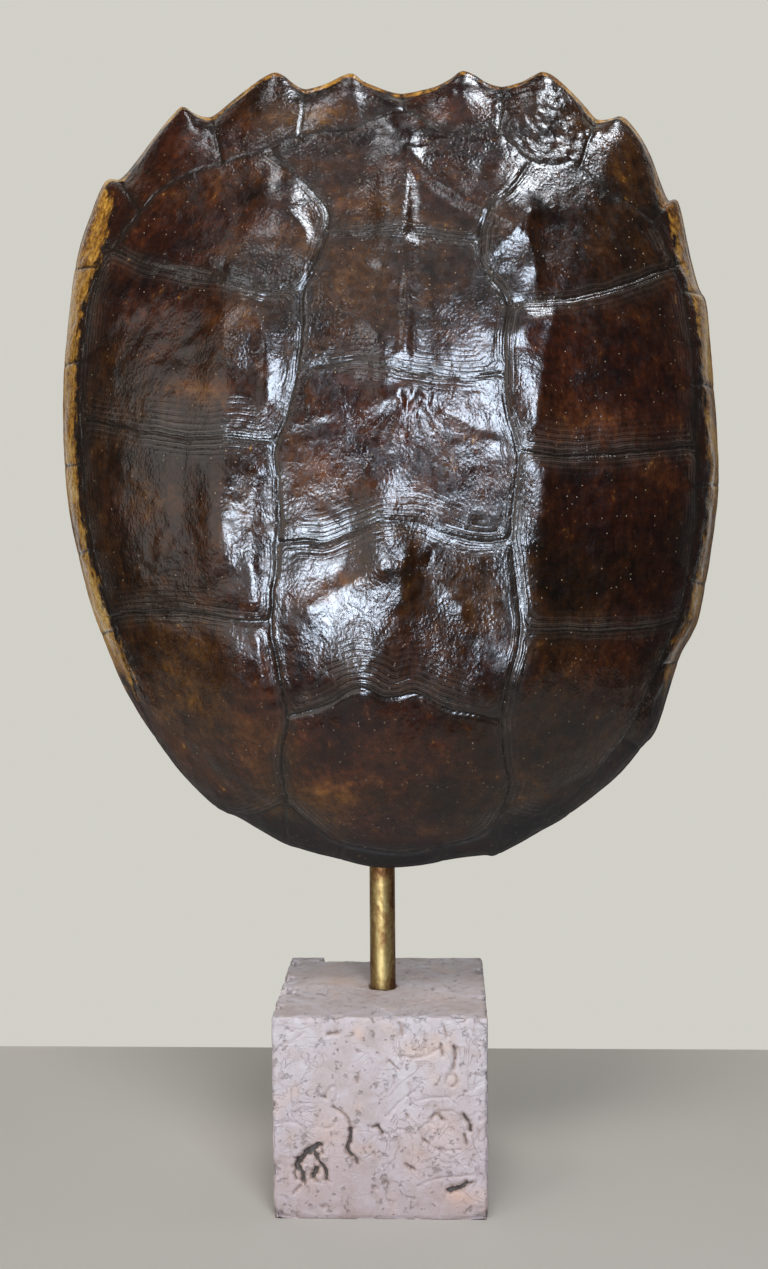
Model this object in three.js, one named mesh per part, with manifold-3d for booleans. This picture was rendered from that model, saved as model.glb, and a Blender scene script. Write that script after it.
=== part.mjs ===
// A snapping turtle's upper shell standing on a brass rod in a travertine block.
// Millimetres, +Z up. The shell's outer side looks along -Y, its neck end is down and its
// toothed tail end is up. The origin is the middle of the block's underside.

import * as THREE from 'three';
import { mergeVertices } from 'three/addons/utils/BufferGeometryUtils.js';
import Module from 'manifold-3d';

const wasm = await Module();
wasm.setup();

// ---- driving dimensions ----

const BLOCK_SIDE = 101.6;
const BLOCK_HEIGHT = 97.5;
const BLOCK_WORN_EDGE = 1.2;

const ROD_DIAMETER = 12.7;
const ROD_SUNK = 45;
const ROD_TOP = 228;
const ROD_END_BEVEL = 0.8;
const HOLE_DIAMETER = 13.8;
const GAP = 0.3;
const SLOPE_GAP = 0.42; // GAP measured straight back on the shell's sloping inside

// The middle of the shell, seen from the front, from the origin.
const SHELL_X = 4;
const SHELL_Z = 350;
const NECK_REACH = 190;
const TAIL_REACH = 198;
const CROWN_DEPTH = 76;
const NECK_EDGE_DEPTH = 15;
const SIDE_SWEEP = 18;
const LEAN = Math.tan(THREE.MathUtils.degToRad(5));
const WALL = 5.5;
const EDGE_WALL = 8.5;
const RIM_WALL = 2.6;
const LIP_WIDTH = 15;
const LIP_HEIGHT = 9;
const LIP_STANDS = 1;

const BACKBONE_HEIGHT = 9;
const BACKBONE_WIDTH = 10;

const PUTTY_WIDTH = 60;
const PUTTY_HEIGHT = 84;
const PUTTY_REACH = 62;
const PUTTY_OVER_ROD = 3;
const ROD_END_IN_PUTTY = 8;

// ---- the shell's outline, from its own middle, as it is seen from the front ----

const rim = new THREE.Shape();
rim.moveTo(7.5, 187.5); // notch over the tail, then the right-hand teeth
rim.lineTo(37, 197.5);
rim.lineTo(56.5, 189.5);
rim.lineTo(77, 196);
rim.lineTo(103, 173.5);
rim.lineTo(114.5, 174.5);
rim.lineTo(137.5, 135.5);
rim.lineTo(142, 134);
rim.splineThru([
	new THREE.Vector2(150, 105),
	new THREE.Vector2(160, 58),
	new THREE.Vector2(163, 0),
	new THREE.Vector2(156, -51),
	new THREE.Vector2(144, -87),
	new THREE.Vector2(126, -131),
	new THREE.Vector2(88, -165),
	new THREE.Vector2(50, -184),
	new THREE.Vector2(2, -190), // neck end
	new THREE.Vector2(-50, -180),
	new THREE.Vector2(-88, -160),
	new THREE.Vector2(-116, -131),
	new THREE.Vector2(-142, -80),
	new THREE.Vector2(-156, -36),
	new THREE.Vector2(-163, 11),
	new THREE.Vector2(-161, 75),
	new THREE.Vector2(-147, 132),
	new THREE.Vector2(-137.5, 148),
]);
rim.lineTo(-130, 150); // the left-hand teeth
rim.lineTo(-100.5, 182.5);
rim.lineTo(-86.5, 177.5);
rim.lineTo(-53.5, 198);
rim.lineTo(-39.5, 189.5);
rim.lineTo(-17.5, 197);
rim.closePath();

// The tips and notches of the teeth, which the shell's mesh has a point on.
const TOOTH_POINTS = [
	[142, 134], [137.5, 135.5], [114.5, 174.5], [103, 173.5], [77, 196], [56.5, 189.5], [37, 197.5],
	[7.5, 187.5], [-17.5, 197], [-39.5, 189.5], [-53.5, 198], [-86.5, 177.5], [-100.5, 182.5],
	[-130, 150], [-137.5, 148],
];

// ---- the shell's surface ----

const TURN = 2 * Math.PI;
const SPLINE_STEPS = 160;
const rimPoints = rim.getPoints(SPLINE_STEPS).map((p) => ({
	angle: (Math.atan2(p.y, p.x) + TURN) % TURN,
	radius: p.length(),
}));
rimPoints.sort((a, b) => a.angle - b.angle);

// Distance from the shell's middle to its edge in one direction.
function rimRadius(angle) {
	const a = ((angle % TURN) + TURN) % TURN;
	let next = rimPoints.findIndex((p) => p.angle > a);
	if (next < 0) {
		next = 0;
	}
	const after = rimPoints[next];
	const before = rimPoints[(next + rimPoints.length - 1) % rimPoints.length];
	const span = (after.angle - before.angle + TURN) % TURN;
	const share = span > 0 ? ((a - before.angle + TURN) % TURN) / span : 0;
	return THREE.MathUtils.lerp(before.radius, after.radius, share);
}

// The same without its teeth: the mean over a few degrees to each side.
const SMOOTH_SPREAD = THREE.MathUtils.degToRad(12);
const SMOOTH_SAMPLES = 6;

function smoothRadius(angle) {
	let sum = 0;
	let weights = 0;
	for (let i = -SMOOTH_SAMPLES; i <= SMOOTH_SAMPLES; i += 1) {
		const weight = SMOOTH_SAMPLES + 1 - Math.abs(i);
		sum += weight * rimRadius(angle + (i / SMOOTH_SAMPLES) * SMOOTH_SPREAD);
		weights += weight;
	}
	return sum / weights;
}

// Y of the shell's edge at a height: swept back at the sides, and the whole shell leans back.
const SWEEP_BIAS = 0.85;

function edgeDepth(z) {
	const along = THREE.MathUtils.clamp((z + NECK_REACH) / (NECK_REACH + TAIL_REACH), 0, 1);
	const sweep = SIDE_SWEEP * Math.sin(Math.PI * Math.pow(along, SWEEP_BIAS));
	return sweep - NECK_EDGE_DEPTH + LEAN * (z + NECK_REACH);
}

// How much of the dome's height is left at a share of the way to the edge. The sides drop
// steeply at the end, the neck end is blunt and the tail end runs out flat.
const SIDE_CURVE = { flat: 2.5, fall: 0.62 };
const NECK_CURVE = { flat: 2.8, fall: 0.8 };
const TAIL_CURVE = { flat: 2.1, fall: 1 };

function domeShare(out, angle) {
	const side = Math.cos(angle) ** 2;
	const end = Math.sin(angle) < 0 ? NECK_CURVE : TAIL_CURVE;
	const flat = THREE.MathUtils.lerp(end.flat, SIDE_CURVE.flat, side);
	const fall = THREE.MathUtils.lerp(end.fall, SIDE_CURVE.fall, side);
	return Math.pow(Math.max(0, 1 - Math.pow(out, flat)), fall);
}

// Knobs on the middle keel and the two side keels: [x, z, height, half width, half length].
const KNOBS = [
	[4, 178, 2.5, 10, 26], [3, 112, 4, 9, 30], [1, 48, 4, 10, 20], [0, -27, 5, 11, 20],
	[-6, -95, 5, 12, 24],
	[-50, 128, 4, 12, 22], [-70, 55, 5, 12, 34], [-73, -20, 5, 12, 34], [-68, -92, 5, 13, 26],
	[58, 118, 4, 12, 22], [64, 45, 5, 12, 34], [66, -20, 5, 12, 34], [62, -90, 5, 13, 26],
];

function knobHeight(x, z) {
	return KNOBS.reduce((sum, [knobX, knobZ, height, halfWidth, halfLength]) => {
		const away = ((x - knobX) / halfWidth) ** 2 + ((z - knobZ) / halfLength) ** 2;
		return sum + height * Math.exp(-away);
	}, 0);
}

// A point of the outer side. out runs from 0 in the middle to 1 at the edge, with the points
// closer together where the sides get steep.
const TEETH_START = 0.8;
const CROWDING = 1.35;

function outerPoint(out, angle) {
	const rounded = Math.sin(out * CROWDING) / Math.sin(CROWDING);
	const teeth = THREE.MathUtils.smoothstep(out, TEETH_START, 1);
	const radius = rounded * THREE.MathUtils.lerp(smoothRadius(angle), rimRadius(angle), teeth);
	const x = radius * Math.cos(angle);
	const z = radius * Math.sin(angle);
	const edge = edgeDepth(z);
	const dome = (edge + CROWN_DEPTH - LEAN * z) * domeShare(rounded, angle);
	return new THREE.Vector3(x, edge - dome - knobHeight(x, z) * (1 - teeth), z);
}

// The inside of the wall: one wall thickness in from the outer side, with the backbone's ridge.
const NORMAL_STEP = 0.01;
const BACKBONE_FADE = 0.5;
const BACKBONE_END = 0.85;

function wallPoint(out, angle, thickness) {
	const point = outerPoint(out, angle);
	const further = outerPoint(out + NORMAL_STEP, angle);
	const turned = outerPoint(out + NORMAL_STEP, angle + NORMAL_STEP);
	const along = further.clone().sub(point);
	const across = turned.clone().sub(further);
	const inward = across.cross(along).normalize();
	if (inward.y < 0) {
		inward.negate();
	}
	const alongBackbone = 1 - THREE.MathUtils.smoothstep(out, BACKBONE_FADE, BACKBONE_END);
	const ridge = BACKBONE_HEIGHT * alongBackbone * Math.exp(-((point.x / BACKBONE_WIDTH) ** 2));
	point.addScaledVector(inward, thickness);
	point.y += ridge;
	return point;
}

// A point of the inner side: the wall, then a thick lip behind the edge, then the edge itself.
const LIP_FOOT = 0.91;
const LIP_CREST = 0.955;
const WALL_END = 0.82;
const WALL_THICKENS = 0.75;

function innerPoint(out, angle) {
	const x = Math.cos(angle);
	const z = Math.sin(angle);
	const edge = rimRadius(angle);
	const lipRadius = smoothRadius(angle) - LIP_WIDTH;
	if (out > LIP_CREST) {
		const rimZ = edge * z;
		return new THREE.Vector3(edge * x, edgeDepth(rimZ) + RIM_WALL, rimZ);
	}
	if (out > LIP_FOOT) {
		return new THREE.Vector3(lipRadius * x, edgeDepth(lipRadius * z) + LIP_STANDS, lipRadius * z);
	}
	const share = out / LIP_FOOT;
	const thickness = THREE.MathUtils.lerp(WALL, EDGE_WALL, THREE.MathUtils.smoothstep(share, WALL_THICKENS, 1));
	const point = wallPoint(share * WALL_END, angle, thickness);
	point.y = Math.min(point.y, edgeDepth(point.z) - LIP_HEIGHT);
	return point;
}

// ---- the shell's mesh: two square sheets pulled out to the outline and joined at the edge ----

const SHEET_STEPS = 44;
const HALF_STEPS = SHEET_STEPS / 2;
const SLOT = TURN / (4 * SHEET_STEPS);

// Each tooth point takes the nearest free direction in which the sheets have an edge point.
const usedSlots = new Set();
const slotShifts = TOOTH_POINTS.map(([x, z]) => {
	const angle = Math.atan2(z, x);
	let slot = Math.round(angle / SLOT);
	while (usedSlots.has(slot)) {
		slot += 1;
	}
	usedSlots.add(slot);
	return { from: slot * SLOT, to: angle };
});
slotShifts.unshift({ from: 0, to: 0 });
slotShifts.push({ from: Math.PI, to: Math.PI });

function warpAngle(angle) {
	if (angle <= 0) {
		return angle;
	}
	const next = slotShifts.findIndex((shift) => shift.from >= angle - 1e-9);
	const after = slotShifts[Math.max(next, 1)];
	const before = slotShifts[Math.max(next, 1) - 1];
	const share = (angle - before.from) / (after.from - before.from);
	return THREE.MathUtils.lerp(before.to, after.to, share);
}

// A point of a flat square, as how far out it is and in which direction.
function squareToRound(a, b) {
	const out = Math.max(Math.abs(a), Math.abs(b));
	if (out < 1e-9) {
		return { out: 0, angle: 0 };
	}
	const quarter = Math.PI / 4;
	let angle = (b / a) * quarter;
	if (Math.abs(b) > Math.abs(a)) {
		angle = 2 * quarter - (a / b) * quarter;
		angle += b < 0 ? -Math.PI : 0;
	} else if (a < 0) {
		angle += b >= 0 ? Math.PI : -Math.PI;
	}
	return { out, angle };
}

// Each cell is cut along the diagonal that points at the middle, so that the rings stay whole.
function sheetIndex(flipped) {
	const row = SHEET_STEPS + 1;
	const index = [];
	for (let j = 0; j < SHEET_STEPS; j += 1) {
		for (let i = 0; i < SHEET_STEPS; i += 1) {
			const corners = [j * row + i, (j + 1) * row + i, (j + 1) * row + i + 1, j * row + i + 1];
			if (flipped) {
				corners.reverse();
			}
			const [a, b, c, d] = corners;
			const rising = (i < HALF_STEPS) !== (j < HALF_STEPS);
			index.push(...(rising ? [a, b, d, b, c, d] : [a, b, c, a, c, d]));
		}
	}
	return index;
}

function sheet(pointAt, flipped) {
	const geometry = new THREE.PlaneGeometry(2, 2, SHEET_STEPS, SHEET_STEPS);
	const position = geometry.attributes.position;
	for (let i = 0; i < position.count; i += 1) {
		const { out, angle } = squareToRound(position.getX(i), position.getY(i));
		const ring = Math.round(out * HALF_STEPS) / HALF_STEPS;
		const point = pointAt(ring, warpAngle(angle));
		position.setXYZ(i, point.x, point.y, point.z);
	}
	geometry.setIndex(sheetIndex(flipped));
	return geometry;
}

// Indices of a sheet's edge points, once around.
function sheetBorder() {
	const row = SHEET_STEPS + 1;
	const border = [];
	for (let i = 0; i < SHEET_STEPS; i += 1) border.push(i);
	for (let i = 0; i < SHEET_STEPS; i += 1) border.push(i * row + SHEET_STEPS);
	for (let i = SHEET_STEPS; i > 0; i -= 1) border.push(SHEET_STEPS * row + i);
	for (let i = SHEET_STEPS; i > 0; i -= 1) border.push(i * row);
	return border;
}

function carapaceGeometry() {
	const outer = sheet(outerPoint, false);
	const inner = sheet(innerPoint, true);
	const outerCount = outer.attributes.position.count;
	const position = [...outer.attributes.position.array, ...inner.attributes.position.array];
	const index = [...outer.index.array, ...Array.from(inner.index.array, (i) => i + outerCount)];
	const border = sheetBorder();
	border.forEach((here, i) => {
		const next = border[(i + 1) % border.length];
		index.push(here, next, next + outerCount);
		index.push(here, next + outerCount, here + outerCount);
	});
	const geometry = new THREE.BufferGeometry();
	geometry.setAttribute('position', new THREE.Float32BufferAttribute(position, 3));
	geometry.setIndex(index);
	return geometry;
}

// ---- joining and cutting ----

function toSolid(geometry) {
	const bare = geometry.clone();
	bare.deleteAttribute('normal');
	bare.deleteAttribute('uv');
	const merged = mergeVertices(bare, 1e-4);
	return new wasm.Manifold(new wasm.Mesh({
		numProp: 3,
		vertProperties: new Float32Array(merged.attributes.position.array),
		triVerts: new Uint32Array(merged.index.array),
	}));
}

function toGeometry(solid) {
	const mesh = solid.getMesh();
	const geometry = new THREE.BufferGeometry();
	geometry.setAttribute('position', new THREE.BufferAttribute(mesh.vertProperties, 3));
	geometry.setIndex(new THREE.BufferAttribute(mesh.triVerts, 1));
	return geometry;
}

// ---- block ----

const ROD_BOTTOM = BLOCK_HEIGHT - ROD_SUNK;
const ROUND_STEPS = 48;

function blockGeometry() {
	const half = BLOCK_SIDE / 2 - BLOCK_WORN_EDGE;
	const square = new THREE.Shape();
	square.moveTo(-half, -half);
	square.lineTo(half, -half);
	square.lineTo(half, half);
	square.lineTo(-half, half);
	square.closePath();
	const stone = new THREE.ExtrudeGeometry(square, {
		depth: BLOCK_HEIGHT - 2 * BLOCK_WORN_EDGE,
		bevelThickness: BLOCK_WORN_EDGE,
		bevelSize: BLOCK_WORN_EDGE,
		bevelSegments: 2,
	});
	stone.translate(0, 0, BLOCK_WORN_EDGE);
	const holeDepth = ROD_SUNK + GAP;
	const hole = new THREE.CylinderGeometry(HOLE_DIAMETER / 2, HOLE_DIAMETER / 2, 2 * holeDepth, ROUND_STEPS);
	hole.rotateX(Math.PI / 2);
	hole.translate(0, 0, BLOCK_HEIGHT);
	return toGeometry(toSolid(stone).subtract(toSolid(hole)));
}

// ---- rod ----

function rodGeometry() {
	const radius = ROD_DIAMETER / 2;
	const length = ROD_TOP - ROD_BOTTOM;
	const profile = [
		new THREE.Vector2(0, 0),
		new THREE.Vector2(radius - ROD_END_BEVEL, 0),
		new THREE.Vector2(radius, ROD_END_BEVEL),
		new THREE.Vector2(radius, length - ROD_END_BEVEL),
		new THREE.Vector2(radius - ROD_END_BEVEL, length),
		new THREE.Vector2(0, length),
	];
	const geometry = new THREE.LatheGeometry(profile, ROUND_STEPS);
	geometry.rotateX(Math.PI / 2);
	return geometry;
}

// ---- putty: a rounded lump around the rod's end, pressed against the inside of the shell ----

const LUMP_STEPS = 28;
const LUMP_RINGS = 20;

function puttyGeometry(carapace) {
	const back = ROD_DIAMETER / 2 + PUTTY_OVER_ROD;
	const lump = new THREE.SphereGeometry(1, LUMP_STEPS, LUMP_RINGS);
	lump.scale(PUTTY_WIDTH / 2, PUTTY_REACH, PUTTY_HEIGHT / 2);
	lump.translate(0, back - PUTTY_REACH, ROD_TOP - ROD_END_IN_PUTTY);
	const wall = carapace.clone();
	wall.translate(SHELL_X, SLOPE_GAP, SHELL_Z);
	const boreRadius = ROD_DIAMETER / 2 + GAP;
	const boreTop = ROD_TOP + GAP;
	const bore = new THREE.CylinderGeometry(boreRadius, boreRadius, boreTop, ROUND_STEPS);
	bore.rotateX(Math.PI / 2);
	bore.translate(0, 0, boreTop / 2);
	const pieces = toSolid(lump).subtract(toSolid(wall)).subtract(toSolid(bore)).decompose();
	const inside = pieces.filter((piece) => piece.boundingBox().max[1] > 0);
	return toGeometry(inside[0]);
}

// ---- the object ----

function addPiece(name, geometry, material) {
	geometry.computeVertexNormals();
	const mesh = new THREE.Mesh(geometry, material);
	mesh.name = name;
	object.add(mesh);
	return mesh;
}

const object = new THREE.Group();

const travertine = new THREE.MeshStandardMaterial({ color: 0xcfc8c4, roughness: 0.75, metalness: 0 });
const agedBrass = new THREE.MeshStandardMaterial({ color: 0xa8854a, roughness: 0.38, metalness: 1 });
const horn = new THREE.MeshStandardMaterial({ color: 0x2e1d14, roughness: 0.2, metalness: 0 });
const greyPutty = new THREE.MeshStandardMaterial({ color: 0x8f8a80, roughness: 0.85, metalness: 0 });

const carapace = carapaceGeometry();

addPiece('block', blockGeometry(), travertine);

const rod = addPiece('rod', rodGeometry(), agedBrass);
rod.position.z = ROD_BOTTOM;

addPiece('putty', puttyGeometry(carapace), greyPutty);

const shell = addPiece('carapace', carapace, horn);
shell.position.set(SHELL_X, 0, SHELL_Z);

export default object;
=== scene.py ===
import math

import bmesh
import bpy
import numpy as np
from bpy.props import FloatProperty, FloatVectorProperty, PointerProperty
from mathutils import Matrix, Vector, noise
from mathutils.kdtree import KDTree


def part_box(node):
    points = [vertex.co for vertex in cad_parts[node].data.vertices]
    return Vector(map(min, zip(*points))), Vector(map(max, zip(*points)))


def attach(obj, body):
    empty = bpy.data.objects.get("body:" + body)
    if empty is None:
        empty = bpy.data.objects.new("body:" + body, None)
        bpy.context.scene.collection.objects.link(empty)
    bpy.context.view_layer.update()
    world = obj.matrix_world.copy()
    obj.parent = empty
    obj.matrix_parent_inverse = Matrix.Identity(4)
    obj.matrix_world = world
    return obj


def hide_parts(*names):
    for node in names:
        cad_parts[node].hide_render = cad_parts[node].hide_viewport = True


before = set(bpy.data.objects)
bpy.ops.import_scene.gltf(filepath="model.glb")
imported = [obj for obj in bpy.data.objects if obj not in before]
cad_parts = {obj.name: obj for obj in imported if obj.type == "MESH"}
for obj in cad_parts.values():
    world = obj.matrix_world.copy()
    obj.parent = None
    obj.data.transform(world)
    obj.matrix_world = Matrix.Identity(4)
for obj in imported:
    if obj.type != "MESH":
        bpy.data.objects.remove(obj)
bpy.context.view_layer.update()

bl_info = {
    "name": "Mounted Turtle Shell",
    "version": (1, 0, 0),
    "blender": (4, 5, 0),
    "location": "View3D > Sidebar > Turtle Shell",
    "description": "A snapping turtle's upper shell on a brass rod in a travertine block",
    "category": "Add Mesh",
}

MM = 0.001
TURN = 2 * math.pi

# ---- sizes taken from the frame, in millimetres ----

SHELL_LOW, SHELL_HIGH = (np.array(corner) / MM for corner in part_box("carapace"))
_, BLOCK_HIGH = (np.array(corner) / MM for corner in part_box("block"))
ROD_LOW, ROD_HIGH = (np.array(corner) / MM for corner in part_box("rod"))
PUTTY_LOW, PUTTY_HIGH = (np.array(corner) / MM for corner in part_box("putty"))

BLOCK_HALF = BLOCK_HIGH[0]
BLOCK_TOP = BLOCK_HIGH[2]
ROD_RADIUS = (ROD_HIGH[0] - ROD_LOW[0]) / 2

# The middle of the shell, seen from the front, and how far it reaches down, up and forward.
NECK_REACH = 190
TAIL_REACH = SHELL_HIGH[2] - SHELL_LOW[2] - NECK_REACH
SHELL_X = 4
SHELL_Z = SHELL_LOW[2] + NECK_REACH
CROWN_DEPTH = 76
NECK_EDGE_DEPTH = 15
SIDE_SWEEP = 18
LEAN = math.tan(math.radians(5))

# ---- the shell's outline from its own middle, as it is seen from the front ----

RIM_POINTS = [
    # from the notch over the tail, down the right-hand teeth
    (8, 185.5), (22.5, 188), (31, 191.5), (37, 195.5), (43, 193.5), (49, 190), (56.5, 188),
    (66, 190), (72, 193), (76.5, 194.5), (83, 191), (95, 179.5), (102.5, 172), (109, 172),
    (114, 173), (119, 169), (128, 155), (136.5, 134.5), (140, 133.5), (143, 130),
    # the right-hand side
    (148.5, 105), (152.5, 91), (156, 84), (158, 68), (161, 29), (162.5, -3), (160, -28),
    (153, -67), (148.5, -78.5), (143.5, -87), (139, -99.5), (131.5, -121.5), (128, -128),
    (124, -132), (111, -146.5), (88, -164), (74, -172), (53, -183), (45.5, -183.5),
    # the neck end
    (32, -185), (15, -188), (-6, -189), (-28, -184.5), (-43.5, -180.5), (-53.5, -177),
    (-73.5, -166), (-80, -163.5), (-88, -158.5),
    # the left-hand side
    (-106, -140.5), (-128, -109.5), (-142, -79.5), (-150.5, -56), (-158.5, -22),
    (-162, 11), (-162, 45), (-159.5, 74), (-154, 108.5), (-146, 131), (-140, 144),
    # the left-hand teeth
    (-136.5, 147), (-130, 148), (-116.5, 163), (-103, 178.5), (-99, 181), (-94, 177.5),
    (-86, 176), (-77, 182), (-63, 192), (-55, 196.3), (-50, 195), (-44.5, 190.5), (-39, 188.5),
    (-30, 190.5), (-17.5, 195.3), (-11, 191.5), (0, 187),
]

# ---- the seams between the horn scutes, from the shell's middle ----
# Each is (points, how far growth rings reach to its left, the same to its right, depth),
# with left and right as seen by someone walking along it.

SEAMS = {
    "left_of_the_middle_row": ([
        (-53, 152), (-38, 138), (-26, 122), (-27, 107), (-31, 93), (-36, 81), (-36, 63), (-40, 32),
        (-47, 14), (-46, -3), (-46, -25), (-50, -68), (-47, -89), (-44, -108), (-47, -123),
        (-49, -135), (-47, -151),
    ], 3.5, 4.5, 1.0),
    "right_of_the_middle_row": ([
        (68, 144), (58, 130), (50, 121), (45, 112), (44, 101), (48, 89), (56, 76), (54, 58),
        (55, 27), (60, 9), (58, -10), (57, -30), (61, -71), (57, -89), (53, -111), (55, -128),
        (58, -146), (53, -160),
    ], 6, 4, 1.0),
    "fifth_middle_scute": ([(-26, 110), (-16, 110), (13, 110), (26, 108), (44, 105)], 5, 5, 0.45),
    "fourth_middle_scute": ([
        (-37, 47), (-22, 48), (-9, 50), (2, 47), (17, 44), (35, 42), (54, 43),
    ], 9, 6, 0.8),
    "third_middle_scute": ([
        (-46, -31), (-36, -30), (-25, -30), (-14, -26), (-3, -22), (6, -21), (16, -22), (22, -24),
        (30, -28), (43, -31), (57, -30),
    ], 11, 6, 0.9),
    "second_middle_scute": ([
        (-44, -109), (-32, -106), (-20, -100), (-9, -95), (0, -99), (7, -100), (14, -98),
        (25, -104), (36, -108), (52, -111),
    ], 19, 3, 1.3),
    "fourth_left_scute": ([
        (-36, 82), (-57, 84), (-69, 87), (-87, 92), (-108, 98), (-127, 107), (-138, 112),
    ], 6, 4, 0.6),
    "third_left_scute": ([
        (-143, 28), (-138, 26), (-105, 19), (-81, 16), (-63, 16), (-47, 14),
    ], 14, 7, 0.8),
    "second_left_scute": ([(-136, -67), (-110, -63), (-84, -63), (-65, -65), (-50, -66)], 9, 6, 0.8),
    "fourth_right_scute": ([
        (55, 76), (66, 77), (79, 78), (98, 82), (123, 92), (143, 101),
    ], 4, 6, 0.9),
    "third_right_scute": ([(59, 10), (70, 8), (88, 7), (126, 10), (146, 12)], 12, 6, 0.9),
    "second_right_scute": ([(61, -70), (79, -71), (98, -72), (123, -72), (141, -70)], 6, 4, 0.5),
    "tail_edge_row": ([
        (-131, 110), (-117, 126), (-108, 136), (-92, 144), (-73, 150), (-59, 153), (-43, 160),
        (-26, 164), (-14, 166), (-3, 172), (9, 175), (17, 171), (25, 164), (38, 162), (52, 163),
        (63, 151), (71, 145), (82, 144), (89, 146), (103, 133), (118, 126), (128, 120),
    ], 1, 3, 0.5),
    "left_edge_row": ([
        (-131, 110), (-137, 102), (-143, 84), (-145, 62), (-146, 36), (-145, 6), (-142, -30),
        (-132, -68), (-126, -93), (-118, -118), (-105, -141), (-90, -155), (-72, -164), (-49, -154),
    ], 12, 2, 0.4),
    "right_edge_row": ([
        (128, 120), (136, 105), (142, 86), (146, 62), (147, 34), (147, 6), (147, -22), (144, -46),
        (139, -70), (130, -91), (120, -113), (107, -134), (90, -154), (73, -164), (54, -158),
    ], 2, 12, 0.4),
    "neck_edge_row": ([
        (-49, -150), (-40, -162), (-28, -173), (-15, -178), (-1, -181), (15, -180), (30, -177),
        (44, -172), (56, -155),
    ], 7, 1, 0.9),
}

# The seams across the row along the edge, each from the inner seam out to the rim.
EDGE_JOINTS = [
    ((9, 175), (8, 186)), ((-40, 161), (-39, 189)), ((-77, 149), (-86, 177)),
    ((-117, 126), (-133, 149)), ((54, 163), (56.5, 189)), ((92, 145), (103, 173)),
    ((128, 120), (139, 134)), ((-138, 101), (-155, 104)), ((-145, 56), (-162, 56)),
    ((-145, 6), (-163, 6)), ((-141, -34), (-156, -38)), ((-130, -72), (-143, -78)),
    ((-110, -132), (-117, -127)), ((-80, -160), (-86, -161)), ((-47, -153), (-50, -178)),
    ((142, 86), (155, 88)), ((146, 42), (161, 42)), ((147, -6), (163, -6)),
    ((142, -50), (156, -54)), ((130, -91), (142, -92)), ((112, -126), (123, -134)),
    ((80, -159), (88, -164)), ((52, -162), (53, -183)), ((-22, -176), (-24, -186)),
    ((24, -178), (26, -187)),
]

# ---- swellings and ridges that stand on the scutes ----
# Broad knobs of the middle keel and the side keels: x, z, height, half width, half length.
KNOBS = [
    (4, 178, 2.5, 10, 26), (3, 112, 4, 9, 30), (1, 48, 4, 10, 20), (0, -27, 5, 11, 20),
    (-6, -95, 5, 12, 24),
    (-50, 128, 4, 12, 22), (-70, 55, 5, 12, 34), (-73, -20, 5, 12, 34), (-68, -92, 5, 13, 26),
    (58, 118, 4, 12, 22), (64, 45, 5, 12, 34), (66, -20, 5, 12, 34), (62, -90, 5, 13, 26),
]

# Crests: points, height, how wide they fall off to the left and to the right along them.
CRESTS = [
    ([(12, 156), (11, 140), (10, 112)], 2.2, 4, 9),
    ([(12, 150), (17, 142), (27, 132), (46, 118)], 2.6, 16, 3),
    ([(12, 104), (11, 80), (10, 54)], 1.9, 5, 2.2),
    ([(9, 34), (9, 20)], 2.0, 8, 9),
    ([(9, 33), (26, 26), (44, 18)], 0.8, 6, 3),
    ([(7, 31), (-10, 29), (-40, 22)], 0.6, 3, 6),
    ([(8, -38), (9, -56)], 2.4, 6, 9),
    ([(8, -39), (-8, -46), (-32, -59)], 1.1, 10, 5),
    ([(10, -40), (26, -49), (36, -60)], 1.0, 4, 5),
    ([(3, -106), (0, -128)], 1.2, 9, 11),
    ([(-44, 120), (-36, 110), (-34, 96)], 2.2, 4, 9),
    ([(-60, 74), (-52, 62), (-50, 30)], 2.4, 4, 10),
    ([(-56, -2), (-58, -30), (-57, -56)], 1.8, 5, 6),
    ([(-56, -72), (-54, -92), (-52, -106)], 1.8, 6, 5),
    ([(66, 116), (66, 104), (69, 92)], 3.0, 2.5, 8),
    ([(66, 116), (57, 107), (48, 98)], 1.6, 4, 4),
    ([(76, 68), (73, 56), (67, 20)], 2.2, 8, 4),
    ([(75, 68), (66, 66), (56, 60)], 1.2, 4, 4),
    ([(72, 0), (71, -14), (69, -30)], 1.8, 7, 5),
    ([(67, -52), (69, -80), (66, -100)], 1.2, 7, 6),
]

# Swellings of the single tail teeth and hollows: x, z, height, half width, half length.
SWELLINGS = [
    (77, 174, 3.6, 15, 15), (37, 180, 2.6, 11, 9), (-18, 181, 2.4, 12, 8), (-56, 178, 3.0, 13, 13),
    (-101, 163, 3.0, 14, 13), (113, 155, 2.8, 12, 14), (30, 22, 1.6, 20, 22), (-18, -90, 2.6, 22, 17),
    (-22, 6, -0.8, 18, 16), (34, -66, -1.0, 20, 20), (-20, -118, 1.0, 16, 9), (-95, 55, -1.2, 30, 24),
    (105, 45, -1.2, 30, 26), (-98, -18, -0.8, 28, 24), (100, -30, -0.9, 30, 26),
    (-85, -95, -0.8, 26, 22), (-20, 130, -0.9, 22, 14), (84, 112, -0.8, 26, 16),
]

# Wrinkles that fan out from a knob: x, z, inner and outer reach, middle direction and half
# spread in degrees, wrinkles in a full turn, height.
FANS = [
    (11, 40, 7, 32, 270, 50, 32, 1.5),
    (11, 42, 12, 62, 330, 28, 80, 0.32),
    (11, 42, 12, 50, 215, 26, 70, 0.22),
    (12, -33, 5, 20, 300, 40, 26, 0.7),
    (12, -33, 8, 46, 330, 24, 60, 0.25),
    (67, 122, 10, 40, 245, 40, 40, 0.22),
]

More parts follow.
